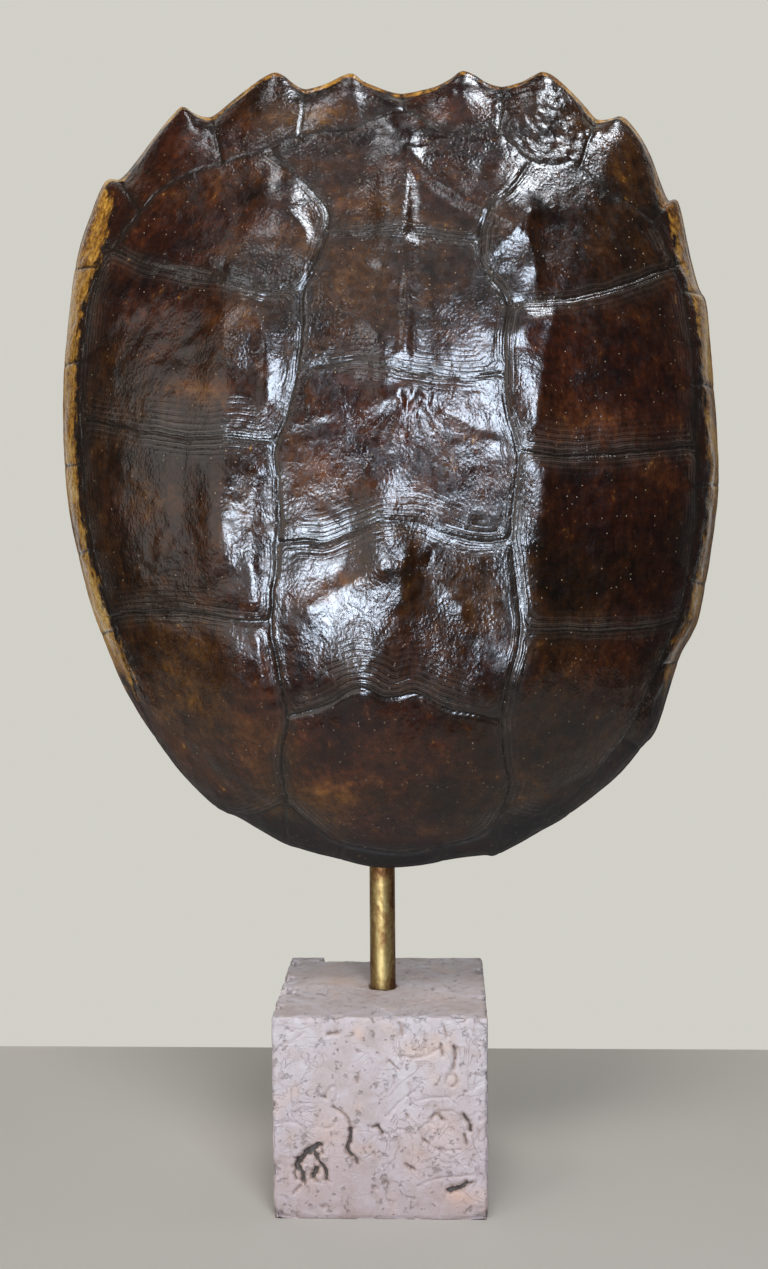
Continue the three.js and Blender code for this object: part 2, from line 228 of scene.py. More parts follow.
# Warm (above zero) and cold patches of the horn: x, z, half width, half height, strength.
PATCHES = [
    (-86, 38, 20, 7, 0.30), (-70, 60, 12, 30, 0.10), (-92, -104, 26, 30, 0.30),
    (-60, -128, 14, 24, 0.26), (-30, -150, 16, 14, 0.24), (-14, -144, 22, 16, 0.14),
    (-28, -10, 18, 14, 0.18), (4, -6, 16, 12, 0.14), (-36, 0, 14, 20, 0.10),
    (-30, -52, 14, 7, 0.30), (-12, -47, 10, 4, 0.26), (34, -70, 22, 22, 0.10),
    (-12, 126, 16, 9, 0.20), (-14, 100, 18, 12, 0.16), (-20, 76, 16, 20, 0.10),
    (96, 24, 18, 12, 0.20), (116, 150, 12, 12, 0.22), (-50, 168, 16, 8, 0.20),
    (-104, 158, 12, 12, 0.12), (-30, 172, 14, 6, 0.26), (34, 170, 16, 6, 0.10),
    (-110, -20, 22, 24, 0.14), (-100, 66, 20, 20, -0.06), (46, -14, 5, 26, 0.16),
    (6, 158, 60, 12, -0.20), (-94, 92, 34, 12, -0.20), (96, -30, 34, 30, -0.16),
    (100, 50, 34, 26, -0.10), (96, 110, 34, 24, -0.10), (-86, 12, 40, 8, -0.16),
    (88, -110, 26, 26, -0.08), (40, -140, 24, 22, -0.12), (50, 80, 12, 30, -0.08),
    (0, -186, 60, 9, -0.5), (-62, -172, 22, 9, -0.4), (70, -170, 26, 9, -0.3),
]


# ---- small sums used all over ----

def smooth_step(value, low, high):
    share = np.clip((value - low) / (high - low), 0, 1)
    return share * share * (3 - 2 * share)


def mix(low, high, share):
    return low + (high - low) * share


def rough(points, size, octaves=3, shift=0.0):
    """Seeded noise of about -1 to 1 at points in millimetres, with lumps of the given size."""
    move = Vector((shift, shift * 1.7, shift * 2.3))
    return np.array([noise.fractal(Vector(p) / size + move, 0.8, 2.0, octaves) for p in points])


def curve_through(points, step, closed=False):
    """Points about step apart on a smooth curve through the given ones."""
    p = np.array(points, float)
    if closed:
        padded = np.vstack([p[-1:], p, p[:2]])
    else:
        padded = np.vstack([2 * p[0] - p[1], p, 2 * p[-1] - p[-2]])
    made = []
    for before, start, end, after in zip(padded, padded[1:], padded[2:], padded[3:]):
        count = max(1, round(float(np.linalg.norm(end - start)) / step))
        t = (np.arange(count) / count)[:, None]
        lift = (end - before) / 2
        land = (after - start) / 2
        cubic = (2 * start - 2 * end + lift + land) * t**3
        square = (3 * end - 3 * start - 2 * lift - land) * t**2
        made.append(cubic + square + lift * t + start)
    if not closed:
        made.append(p[-1:])
    return np.vstack(made)


class Lines:
    """Curves drawn on the shell, which say how near they are to any point."""

    def __init__(self, curves):
        self.points = np.vstack(curves)
        self.curve = np.concatenate([np.full(len(c), i) for i, c in enumerate(curves)])
        self.tree = KDTree(len(self.points))
        for i, point in enumerate(self.points):
            self.tree.insert(Vector(np.append(point, 0)[:3]), i)
        self.tree.balance()

    def nearest(self, points):
        """Index of the nearest curve point, closest place on the curve, distance and side."""
        flat = np.append(points, np.zeros((len(points), 1)), axis=1)[:, :3]
        found = np.array([self.tree.find(Vector(p))[1] for p in flat])
        best = np.full(len(points), np.inf)
        place = np.zeros_like(points)
        side = np.zeros(len(points))
        for a, b in ((found - 1, found), (found, found + 1)):
            a = np.clip(a, 0, len(self.points) - 1)
            b = np.clip(b, 0, len(self.points) - 1)
            b = np.where(self.curve[a] == self.curve[b], b, a)
            start = self.points[a]
            run = self.points[b] - start
            length = np.maximum((run**2).sum(1), 1e-12)
            share = np.clip(((points - start) * run).sum(1) / length, 0, 1)
            share = np.where(self.curve[a] == self.curve[found], share, np.nan)
            on = start + run * share[:, None]
            away = np.sqrt(((points - on) ** 2).sum(1))
            nearer = away < best
            best = np.where(nearer, away, best)
            place = np.where(nearer[:, None], on, place)
            turn = run[:, 0] * (points - start)[:, -1] - run[:, -1] * (points - start)[:, 0]
            side = np.where(nearer, np.sign(turn), side)
        return found, place, best, side


# ---- the shell's surface ----

RIM_STEP = 0.5
SMOOTH_SPREAD = math.radians(12)
SMOOTH_SAMPLES = 6
rim_curve = curve_through(RIM_POINTS, RIM_STEP, closed=True)
rim_angle = np.arctan2(rim_curve[:, 1], rim_curve[:, 0]) % TURN
rim_order = np.argsort(rim_angle)
rim_angle = rim_angle[rim_order]
rim_distance = np.linalg.norm(rim_curve, axis=1)[rim_order]


def rim_reach(angle):
    """Distance from the shell's middle to its edge in one direction."""
    return np.interp(np.asarray(angle) % TURN, rim_angle, rim_distance, period=TURN)


def smooth_reach(angle):
    """The same without the teeth: the mean over a few degrees to each side."""
    total = 0
    weights = 0
    for i in range(-SMOOTH_SAMPLES, SMOOTH_SAMPLES + 1):
        weight = SMOOTH_SAMPLES + 1 - abs(i)
        total = total + weight * rim_reach(angle + i / SMOOTH_SAMPLES * SMOOTH_SPREAD)
        weights += weight
    return total / weights


SWEEP_BIAS = 0.85
SIDE_CURVE = (2.5, 0.62)
NECK_CURVE = (2.8, 0.8)
TAIL_CURVE = (2.1, 1.0)
CROWDING = 1.35
TEETH_START = 0.8


def edge_depth(z):
    """Y of the shell's edge at a height: swept back at the sides, and leaning back."""
    along = np.clip((z + NECK_REACH) / (NECK_REACH + TAIL_REACH), 0, 1)
    sweep = SIDE_SWEEP * np.sin(math.pi * along**SWEEP_BIAS)
    return sweep - NECK_EDGE_DEPTH + LEAN * (z + NECK_REACH)


def dome_share(out, angle):
    """How much of the dome's height is left at a share of the way to the edge."""
    side = np.cos(angle) ** 2
    neck = np.sin(angle) < 0
    flat = mix(np.where(neck, NECK_CURVE[0], TAIL_CURVE[0]), SIDE_CURVE[0], side)
    fall = mix(np.where(neck, NECK_CURVE[1], TAIL_CURVE[1]), SIDE_CURVE[1], side)
    return np.maximum(0, 1 - out**flat) ** fall


def teeth_share(out):
    """0 inside, 1 at the edge, where the outline with its teeth takes over."""
    crowded = np.arcsin(np.clip(out, 0, 1) * math.sin(CROWDING)) / CROWDING
    return smooth_step(crowded, TEETH_START, 1)


def full_reach(out, angle):
    return mix(smooth_reach(angle), rim_reach(angle), teeth_share(out))


def gauss_sum(x, z, bumps):
    """Sum of round swellings, each x, z, half width, half length, height."""
    total = np.zeros_like(x)
    for at_x, at_z, half_width, half_length, height in bumps:
        total += height * np.exp(-((x - at_x) / half_width) ** 2 - ((z - at_z) / half_length) ** 2)
    return total


def raised(x, z, bumps):
    """The same for swellings that are listed with their height before their widths."""
    return gauss_sum(x, z, [(a, b, wide, far, high) for a, b, high, wide, far in bumps])


def surface_depth(x, z, out, angle):
    """Y of the bare outer side, with its knobs."""
    edge = edge_depth(z)
    dome = (edge + CROWN_DEPTH - LEAN * z) * dome_share(out, angle)
    return edge - dome - raised(x, z, KNOBS) * (1 - teeth_share(out))


REACH_PASSES = 8


def share_of_reach(x, z):
    """How far out a place is, from 0 in the middle to 1 at the edge, and its direction."""
    angle = np.arctan2(z, x)
    distance = np.hypot(x, z)
    smooth = smooth_reach(angle)
    rim = rim_reach(angle)
    out = np.clip(distance / smooth, 0, 1)
    for _ in range(REACH_PASSES):
        out = np.clip(distance / mix(smooth, rim, teeth_share(out)), 0, 1)
    return out, angle


def on_shell(x, z):
    """Points of the bare outer side for places seen from the front."""
    out, angle = share_of_reach(x, z)
    return np.stack([x, surface_depth(x, z, out, angle), z], 1)


def square_to_round(square):
    """A flat square's points as how far out they are and in which direction."""
    a, b = square[:, 0], square[:, 1]
    out = np.maximum(abs(a), abs(b))
    wide = abs(a) >= abs(b)
    quarter = math.pi / 4
    safe_a = np.where(wide & (a != 0), a, 1)
    safe_b = np.where(~wide, b, 1)
    angle = np.where(wide, quarter * b / safe_a, 2 * quarter - quarter * a / safe_b)
    angle = angle + np.where((wide & (a < 0)) | (~wide & (b < 0)), math.pi, 0)
    return out, angle


# ---- nodes of a material ----

class Finish:
    """A new node material, with short ways to add its nodes."""

    def __init__(self, name):
        self.material = bpy.data.materials.new(name)
        self.material.use_nodes = True
        self.tree = self.material.node_tree
        self.shader = self.tree.nodes["Principled BSDF"]
        self.where = self.tree.nodes.new("ShaderNodeTexCoord").outputs["Object"]

    def feed(self, socket, value):
        if isinstance(value, bpy.types.NodeSocket):
            self.tree.links.new(value, socket)
        elif hasattr(value, "__len__") and len(value) == 3 and socket.type == "RGBA":
            socket.default_value = (*value, 1)
        else:
            socket.default_value = value

    def attribute(self, name):
        node = self.tree.nodes.new("ShaderNodeAttribute")
        node.attribute_name = name
        return node.outputs["Fac"]

    def noise(self, scale, detail=4, roughness=0.55, distortion=0, at=None):
        node = self.tree.nodes.new("ShaderNodeTexNoise")
        self.feed(node.inputs["Vector"], at or self.where)
        node.inputs["Scale"].default_value = scale
        node.inputs["Detail"].default_value = detail
        node.inputs["Roughness"].default_value = roughness
        node.inputs["Distortion"].default_value = distortion
        return node.outputs["Fac"]

    def cells(self, scale, feature="F1", smoothness=0.4, at=None):
        node = self.tree.nodes.new("ShaderNodeTexVoronoi")
        node.feature = feature
        self.feed(node.inputs["Vector"], at or self.where)
        node.inputs["Scale"].default_value = scale
        if feature == "SMOOTH_F1":
            node.inputs["Smoothness"].default_value = smoothness
        return node.outputs["Distance"]

    def cell_tint(self, scale):
        node = self.tree.nodes.new("ShaderNodeTexVoronoi")
        self.feed(node.inputs["Vector"], self.where)
        node.inputs["Scale"].default_value = scale
        split = self.tree.nodes.new("ShaderNodeSeparateColor")
        self.tree.links.new(node.outputs["Color"], split.inputs["Color"])
        return split.outputs["Red"]

    def stretched(self, x, y, z):
        node = self.tree.nodes.new("ShaderNodeMapping")
        self.feed(node.inputs["Vector"], self.where)
        node.inputs["Scale"].default_value = (x, y, z)
        return node.outputs["Vector"]

    def sum(self, operation, a, b=None, c=None):
        node = self.tree.nodes.new("ShaderNodeMath")
        node.operation = operation
        for socket, value in zip(node.inputs, (a, b, c)):
            if value is not None:
                self.feed(socket, value)
        return node.outputs["Value"]

    def range(self, value, low, high, to_low=0.0, to_high=1.0):
        node = self.tree.nodes.new("ShaderNodeMapRange")
        node.interpolation_type = "SMOOTHSTEP"
        for name, each in (("Value", value), ("From Min", low), ("From Max", high),
                           ("To Min", to_low), ("To Max", to_high)):
            self.feed(node.inputs[name], each)
        return node.outputs["Result"]

    def ramp(self, value, stops):
        node = self.tree.nodes.new("ShaderNodeValToRGB")
        self.feed(node.inputs["Fac"], value)
        elements = node.color_ramp.elements
        elements[0].position, elements[-1].position = stops[0][0], stops[-1][0]
        elements[0].color, elements[-1].color = (*stops[0][1], 1), (*stops[-1][1], 1)
        for position, colour in stops[1:-1]:
            elements.new(position).color = (*colour, 1)
        return node.outputs["Color"]

    def blend(self, share, a, b, how="MIX"):
        node = self.tree.nodes.new("ShaderNodeMix")
        node.data_type = "RGBA"
        node.blend_type = how
        self.feed(node.inputs["Factor"], share)
        self.feed(node.inputs[6], a)
        self.feed(node.inputs[7], b)
        return node.outputs[2]

    def bump(self, height, distance, strength=1.0):
        node = self.tree.nodes.new("ShaderNodeBump")
        self.feed(node.inputs["Height"], height)
        node.inputs["Distance"].default_value = distance
        node.inputs["Strength"].default_value = strength
        return node.outputs["Normal"]

    def weighed(self, a, a_share, b, b_share):
        """Two patterns added, each with its share."""
        return self.sum("ADD", self.sum("MULTIPLY", a, a_share), self.sum("MULTIPLY", b, b_share))

    def cut(self, height, share, depth):
        """A height with a pattern sunk into it."""
        return self.sum("SUBTRACT", height, self.sum("MULTIPLY", share, depth))

    def tint(self, colour, share, strength, towards):
        """A colour drawn towards another one where a pattern says so."""
        return self.blend(self.sum("MULTIPLY", share, strength), colour, towards)

    def wave(self, value, turns):
        """A wave between 0 and 1 that repeats as the value grows."""
        phase = self.sum("MULTIPLY", value, turns)
        return self.sum("MULTIPLY_ADD", self.sum("COSINE", phase), 0.5, 0.5)

    def dots(self, scale, edge, chosen):
        """Round dots in some cells: the range of their soft edge, and of the tints that get one."""
        dot = self.range(self.cells(scale), *edge, 1.0, 0.0)
        return self.sum("MULTIPLY", dot, self.range(self.cell_tint(scale), *chosen))

    def finish(self, colour, roughness, normal, coat_normal=None, **constants):
        self.feed(self.shader.inputs["Base Color"], colour)
        self.feed(self.shader.inputs["Roughness"], roughness)
        self.feed(self.shader.inputs["Normal"], normal)
        if coat_normal:
            self.feed(self.shader.inputs["Coat Normal"], coat_normal)
        for name, value in constants.items():
            self.shader.inputs[name].default_value = value
        return self.material


# ---- materials ----

HAIRS_PER_RING = 2.7


def horn_ground(f, settings, patterns):
    """The horn's own colour, from near black to warm brown, with a slow drift of hue."""
    shade = f.attribute("tone")
    for pattern, weight in patterns:
        shade = f.sum("ADD", shade, f.sum("MULTIPLY_ADD", pattern, weight, -weight / 2))
    colour = f.ramp(shade, [
        (0.0, (0.0026, 0.0014, 0.0010)), (0.22, (0.0065, 0.0026, 0.0014)),
        (0.42, (0.0165, 0.0054, 0.0019)), (0.6, tuple(settings.horn_colour)),
        (0.78, (0.072, 0.026, 0.006)), (1.0, (0.16, 0.068, 0.014)),
    ])
    hue = f.blend(f.range(f.noise(11, 3, 0.5), 0.38, 0.62), (1.1, 0.84, 1.05), (0.98, 1.08, 0.85))
    return f.blend(1.0, colour, hue, "MULTIPLY")


def growth_rings(f, settings, seam):
    """Ring lines beside the seams, hair lines between them, and how strongly both show."""
    wander = f.sum("MULTIPLY_ADD", f.noise(95, 3, 0.5), 1.2, seam)
    turns = TURN / settings.ring_spacing * MM
    patchy = f.range(f.noise(46, 3, 0.6), 0.40, 0.58, 0.3, 1.0)
    rings = f.sum("MULTIPLY", f.attribute("rings"), patchy)
    return f.wave(wander, turns), f.wave(wander, turns * HAIRS_PER_RING), rings


def lay_amber(f, settings, colour, drift, mottle, grain, fibre):
    """Lays the thin amber horn of the shell's edge over the dark horn, worn in patches."""
    wear = f.sum("MULTIPLY_ADD", mottle, 1.7, f.sum("MULTIPLY_ADD", fibre, 0.9, -1.3))
    share = f.range(f.sum("ADD", f.attribute("amber"), wear), 0.30, 0.68)
    amber = f.ramp(f.weighed(drift, 0.6, grain, 0.4), [
        (0.38, (0.050, 0.017, 0.004)), (0.46, (0.175, 0.070, 0.009)),
        (0.54, tuple(settings.amber_colour)), (0.68, (0.60, 0.42, 0.15)),
    ])
    return f.blend(share, colour, amber)


def varnish_height(f, line, hairs, fleck_and_glint):
    """A fine net and ripples in the varnish, with raised flecks and sunk ring lines."""
    net = f.cells(740, "SMOOTH_F1", 0.35, at=f.stretched(1, 1, 0.75))
    ripple = f.noise(540, 3, 0.5, 1.0, at=f.stretched(1, 1, 0.85))
    crumpled = f.range(f.noise(42, 4, 0.6), 0.36, 0.62, 0.35, 1.25)
    height = f.sum("MULTIPLY", f.weighed(net, 0.6, ripple, 1.0), crumpled)
    height = f.sum("MULTIPLY_ADD", fleck_and_glint, 0.9, height)
    return f.cut(f.cut(height, line, 1.2), hairs, 0.35)


def horn_finish(settings):
    """Dark varnished horn, warm where it is thin, amber along the shell's edge."""
    f = Finish("varnished_horn")
    seam = f.attribute("seam")
    drift = f.noise(30, 5, 0.62, 0.6)
    mottle = f.noise(125, 6, 0.62, 0.5)
    grain = f.noise(400, 5, 0.62)
    fibre = f.noise(330, 4, 0.6, at=f.stretched(1, 1, 0.2))
    colour = horn_ground(f, settings, [(drift, 1.0), (mottle, 0.8), (grain, 0.5), (fibre, 0.4)])

    border = f.sum("ADD", seam, f.sum("MULTIPLY_ADD", drift, 9.0, -4.5))
    colour = f.blend(f.range(border, 0.5, 7.5, 0.5, 0.0), colour, (0.0100, 0.0072, 0.0052))
    wave, hair, rings = growth_rings(f, settings, seam)
    line = f.sum("MULTIPLY", f.sum("POWER", wave, 3.0), rings)
    colour = f.tint(colour, line, 0.75, (0.006, 0.005, 0.0045))
    dusty = f.sum("MULTIPLY", rings, f.range(f.sum("MULTIPLY", hair, fibre), 0.28, 0.50))
    colour = f.tint(colour, dusty, 0.45, (0.085, 0.072, 0.058))
    crest = f.sum("MULTIPLY", f.sum("POWER", f.sum("SUBTRACT", 1.0, wave), 3.0), rings)
    colour = f.tint(colour, crest, 0.42, (0.095, 0.074, 0.061))

    crack = f.sum("ADD", seam, f.sum("MULTIPLY_ADD", f.noise(260, 4), 1.6, -0.8))
    colour = f.blend(f.range(crack, 0.1, 0.95, 0.9, 0.0), colour, (0.005, 0.0045, 0.004))
    colour = lay_amber(f, settings, colour, drift, mottle, grain, fibre)
    colour = f.blend(f.range(crack, 0.1, 1.3, 0.85, 0.0), colour, (0.012, 0.007, 0.004))
    # Pale gold flecks: partly real flecks in the horn, partly painted glints standing in for small
    # sparkles of light; the same dots are raised in the varnish.
    fleck_and_glint = f.dots(430, (0.10, 0.20), (0.80, 0.90))
    colour = f.tint(colour, fleck_and_glint, 0.5, (0.36, 0.25, 0.14))

    height = varnish_height(f, line, f.sum("MULTIPLY", hair, rings), fleck_and_glint)
    varnish = f.bump(height, 0.00023)
    normal = f.bump(f.sum("MULTIPLY_ADD", grain, 0.9, height), 0.00014)
    roughness = f.range(f.noise(210, 5, 0.7), 0.3, 0.7, settings.gloss_roughness, 0.34)
    worn = f.sum("SUBTRACT", f.attribute("worn"), 0.25)
    dull = f.range(f.sum("MULTIPLY_ADD", mottle, 0.5, worn), 0.2, 0.9)
    roughness = f.sum("MULTIPLY_ADD", dull, 0.4, roughness)
    f.feed(f.shader.inputs["Coat Weight"], f.range(dull, 0, 1, 0.36, 0.0))
    shine = {"Coat Roughness": 0.07, "Coat IOR": 1.42, "IOR": 1.4}
    return f.finish(colour, roughness, normal, varnish, **shine)


def bone_finish(settings):
    """Dry bone of the shell's inside: cream, browner in its seams, with painted shade in the hollows
    beside the backbone.
    """
    f = Finish("dry_bone")
    suture = f.attribute("suture")
    drift = f.noise(22, 5, 0.6)
    mottle = f.noise(120, 6, 0.65)
    grain = f.noise(520, 5, 0.6)
    colour = f.ramp(f.weighed(drift, 0.55, mottle, 0.45), [
        (0.28, (0.25, 0.17, 0.095)), (0.45, (0.47, 0.36, 0.22)),
        (0.6, tuple(settings.bone_colour)), (0.78, (0.68, 0.59, 0.44)),
    ])
    colour = f.tint(colour, suture, 0.75, (0.10, 0.060, 0.030))
    # Painted shade: browner and darker in the hollows beside the backbone.
    colour = f.tint(colour, f.attribute("hollow"), 0.5, (0.20, 0.125, 0.065))
    pores = f.range(f.cells(900), 0.05, 0.22)
    height = f.cut(f.weighed(grain, 0.6, pores, 0.4), suture, 0.8)
    return f.finish(colour, f.range(mottle, 0.3, 0.7, 0.5, 0.72), f.bump(height, 0.0005, 0.8))


def pit_colour(f, colour):
    """Rust down the sides of the pits, and painted shade, near black, where they are deep and broken."""
    pit = f.attribute("pit")
    colour = f.blend(f.range(pit, 0.06, 0.45, 0.0, 0.7), colour, (0.27, 0.18, 0.135))
    broken = f.sum("MULTIPLY_ADD", f.noise(420, 4, 0.7), 0.9, f.sum("SUBTRACT", pit, 0.45))
    # Painted shade: near black in the deep, broken parts of the pits.
    core = f.sum("MULTIPLY", f.range(broken, 0.40, 0.66), f.range(pit, 0.18, 0.42))
    return f.tint(colour, core, 0.92, (0.04, 0.027, 0.02))


def stone_finish(settings):
    """Travertine: pale, with drifting bands, rust and painted shade in its pits, small dark dots, painted
    darker towards its foot.
    """
    f = Finish("travertine")
    band = f.noise(26, 5, 0.6, 0.5, at=f.stretched(1.0, 1.0, 0.55))
    cloud = f.noise(85, 7, 0.65, 0.8)
    grain = f.noise(600, 5, 0.7)
    colour = f.ramp(f.weighed(band, 0.45, cloud, 0.55), [
        (0.30, (0.27, 0.205, 0.18)), (0.44, (0.365, 0.30, 0.28)),
        (0.56, tuple(settings.stone_colour)), (0.74, (0.56, 0.525, 0.535)),
    ])
    shells = f.cells(115, "DISTANCE_TO_EDGE", at=f.stretched(1, 1, 1.5))
    traced = f.sum("MULTIPLY", f.range(shells, 0.015, 0.06, 1.0, 0.0), f.range(cloud, 0.46, 0.62))
    dot = f.dots(300, (0.08, 0.17), (0.72, 0.8))
    specked = f.range(f.noise(230, 5, 0.7), 0.58, 0.68)
    vein = f.sum("ABSOLUTE", f.sum("SUBTRACT", f.noise(60, 4, 0.6, 1.2), 0.5))
    vein = f.sum("MULTIPLY", f.range(vein, 0.0, 0.018, 1.0, 0.0), f.range(band, 0.45, 0.6))
    marks = [
        (traced, 0.30, (0.42, 0.35, 0.32)), (f.attribute("stain"), 0.75, (0.55, 0.36, 0.24)),
        (dot, 0.7, (0.20, 0.13, 0.09)), (specked, 0.45, (0.26, 0.205, 0.18)),
        (vein, 0.4, (0.29, 0.22, 0.19)),
    ]
    for share, strength, towards in marks:
        colour = f.tint(colour, share, strength, towards)
    # Painted light and shade: the stone is painted darker and pinker towards its foot and lighter and
    # cooler towards its top, as if lit from above.
    split = f.tree.nodes.new("ShaderNodeSeparateXYZ")
    f.tree.links.new(f.where, split.inputs["Vector"])
    rise = f.range(split.outputs["Z"], 0.01, 0.095)
    colour = f.blend(1.0, colour, f.blend(rise, (0.86, 0.81, 0.83), (1.04, 1.05, 1.08)), "MULTIPLY")
    colour = pit_colour(f, colour)
    height = f.cut(f.cut(f.weighed(grain, 0.5, cloud, 1.0), dot, 0.7), traced, 0.3)
    height = f.sum("SUBTRACT", height, f.sum("MULTIPLY_ADD", vein, 0.5, specked))
    return f.finish(colour, f.range(cloud, 0.3, 0.7, 0.52, 0.78), f.bump(height, 0.0006, 0.8))


def brass_finish(settings):
    """Old brass: yellow where it is rubbed, brown in blotches, drawn along its length."""
    f = Finish("aged_brass")
    blotch = f.noise(90, 6, 0.65, 0.8, at=f.stretched(1, 1, 0.5))
    drawn = f.noise(900, 3, 0.6, at=f.stretched(1, 1, 0.02))
    speck = f.noise(420, 5, 0.7)
    shade = f.weighed(blotch, 0.75, speck, 0.25)
    colour = f.ramp(shade, [
        (0.38, (0.06, 0.020, 0.009)), (0.46, (0.14, 0.066, 0.025)),
        (0.54, tuple(settings.brass_colour)), (0.68, (0.42, 0.32, 0.14)),
    ])
    normal = f.bump(f.weighed(drawn, 0.6, speck, 0.5), 0.0002, 0.7)
    roughness = f.range(shade, 0.35, 0.62, 0.66, 0.44)
    return f.finish(colour, roughness, normal, Metallic=1.0)


def putty_finish(settings):
    """Set grey fixing putty, thumbed into place."""
    f = Finish("fixing_putty")
    cloud = f.noise(60, 5, 0.6)
    grain = f.noise(700, 5, 0.65)
    colour = f.ramp(f.weighed(cloud, 0.6, grain, 0.4), [
        (0.32, (0.16, 0.145, 0.12)), (0.5, tuple(settings.putty_colour)), (0.7, (0.38, 0.36, 0.32)),
    ])
    normal = f.bump(f.sum("ADD", f.sum("MULTIPLY", cloud, 0.6), grain), 0.0005, 0.7)
    return f.finish(colour, f.range(grain, 0.3, 0.7, 0.62, 0.85), normal)


def paper_finish(settings):
    """Matt studio paper for the floor."""
    f = Finish("floor_paper")
    fibre = f.noise(900, 3, 0.6)
    shade = f.tint(tuple(settings.floor_colour), fibre, 0.04, (0.5, 0.48, 0.44))
    return f.finish(shade, f.range(fibre, 0.3, 0.7, 0.82, 0.92), f.bump(fibre, 0.00005, 0.3))


# ---- making and placing pieces ----

def add_piece(name, bm, materials, slot=None, replaces=None):
    """Turns a finished bmesh, in metres in the shared frame, into a piece of the object."""
    mesh = bpy.data.meshes.new(name)
    bm.to_mesh(mesh)
    bm.free()
    for material in materials:
        mesh.materials.append(material)
    for polygon in mesh.polygons:
        polygon.use_smooth = True
    piece = bpy.data.objects.new(name, mesh)
    bpy.context.scene.collection.objects.link(piece)
    if slot:
        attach(piece, "root")
    if replaces:
        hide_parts(replaces)
    return piece


def places(verts):
    return np.array([v.co for v in verts])


def put(verts, points):
    for v, point in zip(verts, points):
        v.co = point


def new_bmesh(*stored):
    """An empty bmesh that can keep the named numbers per vertex."""
    bm = bmesh.new()
    for name in stored:
        bm.verts.layers.float.new(name)
    return bm


def grow_border(bm, border):
    """Extrudes a border of edges where it is: the new points and the new border."""
    made = bmesh.ops.extrude_edge_only(bm, edges=border)["geom"]
    verts = [g for g in made if isinstance(g, bmesh.types.BMVert)]
    edges = [g for g in made if isinstance(g, bmesh.types.BMEdge) and g.is_boundary]
    return verts, edges


def store(bm, verts, **values):
    """Keeps a number per vertex for a material to read."""
    for name, numbers in values.items():
        layer = bm.verts.layers.float[name]
        for v, number in zip(verts, numbers):
            v[layer] = number


# ---- the carapace ----

OUTER_STEPS = 272
INNER_STEPS = OUTER_STEPS // 2
SPREAD = 1.2
SEAM_STEP = 1.0
PULL_REACH = 14
PULL = 0.5
SEAM_FAR = 40
JOINT_RINGS = 1
JOINT_DEPTH = 0.6
HORN_TONE = 0.44

# The crumpled tooth: x, z and how far the creases reach.
CRUMPLED = (78, 168, 24)

# Width of the amber edge at the tail, right, left and neck, and a place where it is wider.
AMBER_TAIL = 3.4
AMBER_RIGHT = 12
AMBER_LEFT = 18
AMBER_NECK = 1.5
AMBER_PATCH = (-142, 112, 14, 22, 9)


def from_shell(points):
    """Metres in the shared frame, from millimetres about the shell's middle."""
    return (points + [SHELL_X, 0, SHELL_Z]) * MM


def new_sheet(bm, steps):
    """A square grid, and for each of its points how far out it is and in which direction."""
    made = bmesh.ops.create_grid(bm, x_segments=steps, y_segments=steps, size=1)
    out, angle = square_to_round(places(made["verts"])[:, :2])
    return made["verts"], out, angle


def seam_curves():
    """All seams as curves, with the ring reaches and the depth at each of their points."""
    curves = []
    rings_left, rings_right, depths = [], [], []
    joints = [(joint, JOINT_RINGS, JOINT_RINGS, JOINT_DEPTH) for joint in EDGE_JOINTS]
    for points, left, right, depth in [*SEAMS.values(), *joints]:
        curve = curve_through(points, SEAM_STEP)
        curves.append(curve)
        rings_left += [left] * len(curve)
        rings_right += [right] * len(curve)
        depths += [depth] * len(curve)
    return curves, np.array(rings_left), np.array(rings_right), np.array(depths)


def wobble(x, z):
    """Small sideways wander, so that no line on the shell runs quite true."""
    flat = np.stack([x, np.zeros_like(x), z], 1)
    return rough(flat, 14, 3, 3.1) * 0.8, rough(flat, 14, 3, 8.7) * 0.8


def crest_height(x, z):
    total = np.zeros_like(x)
    flat = np.stack([x, z], 1)
    for points, height, left, right in CRESTS:
        _, _, away, side = Lines([curve_through(points, SEAM_STEP)]).nearest(flat)
        width = np.where(side > 0, left, right)
        total += height * np.exp(-((away / width) ** 1.3))
    return total


def fan_height(x, z):
    total = np.zeros_like(x)
    for at_x, at_z, near, far, middle, spread, count, height in FANS:
        away = np.hypot(x - at_x, z - at_z)
        angle = np.degrees(np.arctan2(z - at_z, x - at_x)) - middle
        angle = (angle + 180) % 360 - 180
        window = smooth_step(away, near * 0.5, near) * (1 - smooth_step(away, near, far))
        window = window * (1 - smooth_step(abs(angle), spread * 0.6, spread))
        wander = rough(np.stack([x, z, z * 0], 1), 9, 2, 5.0) * 2.5
        wrinkle = np.cos(np.radians(angle) * count + wander)
        total += height * window * (wrinkle - 0.2)
    return total


def ring_relief(base, seam, rings, depth, settings):
    """Growth rings: shallow valleys at even steps from a seam, deeper in some patches."""
    spacing = settings.ring_spacing / MM
    phase = TURN * (seam + rough(base, 13, 3, 2.2) * 1.1) / spacing
    patchy = 0.75 + 0.6 * rough(base, 17, 2, 7.5)
    strength = -settings.ring_depth / MM * rings * patchy * (0.6 + 0.4 * depth)
    return strength * (0.5 + 0.5 * np.cos(phase)) ** 2


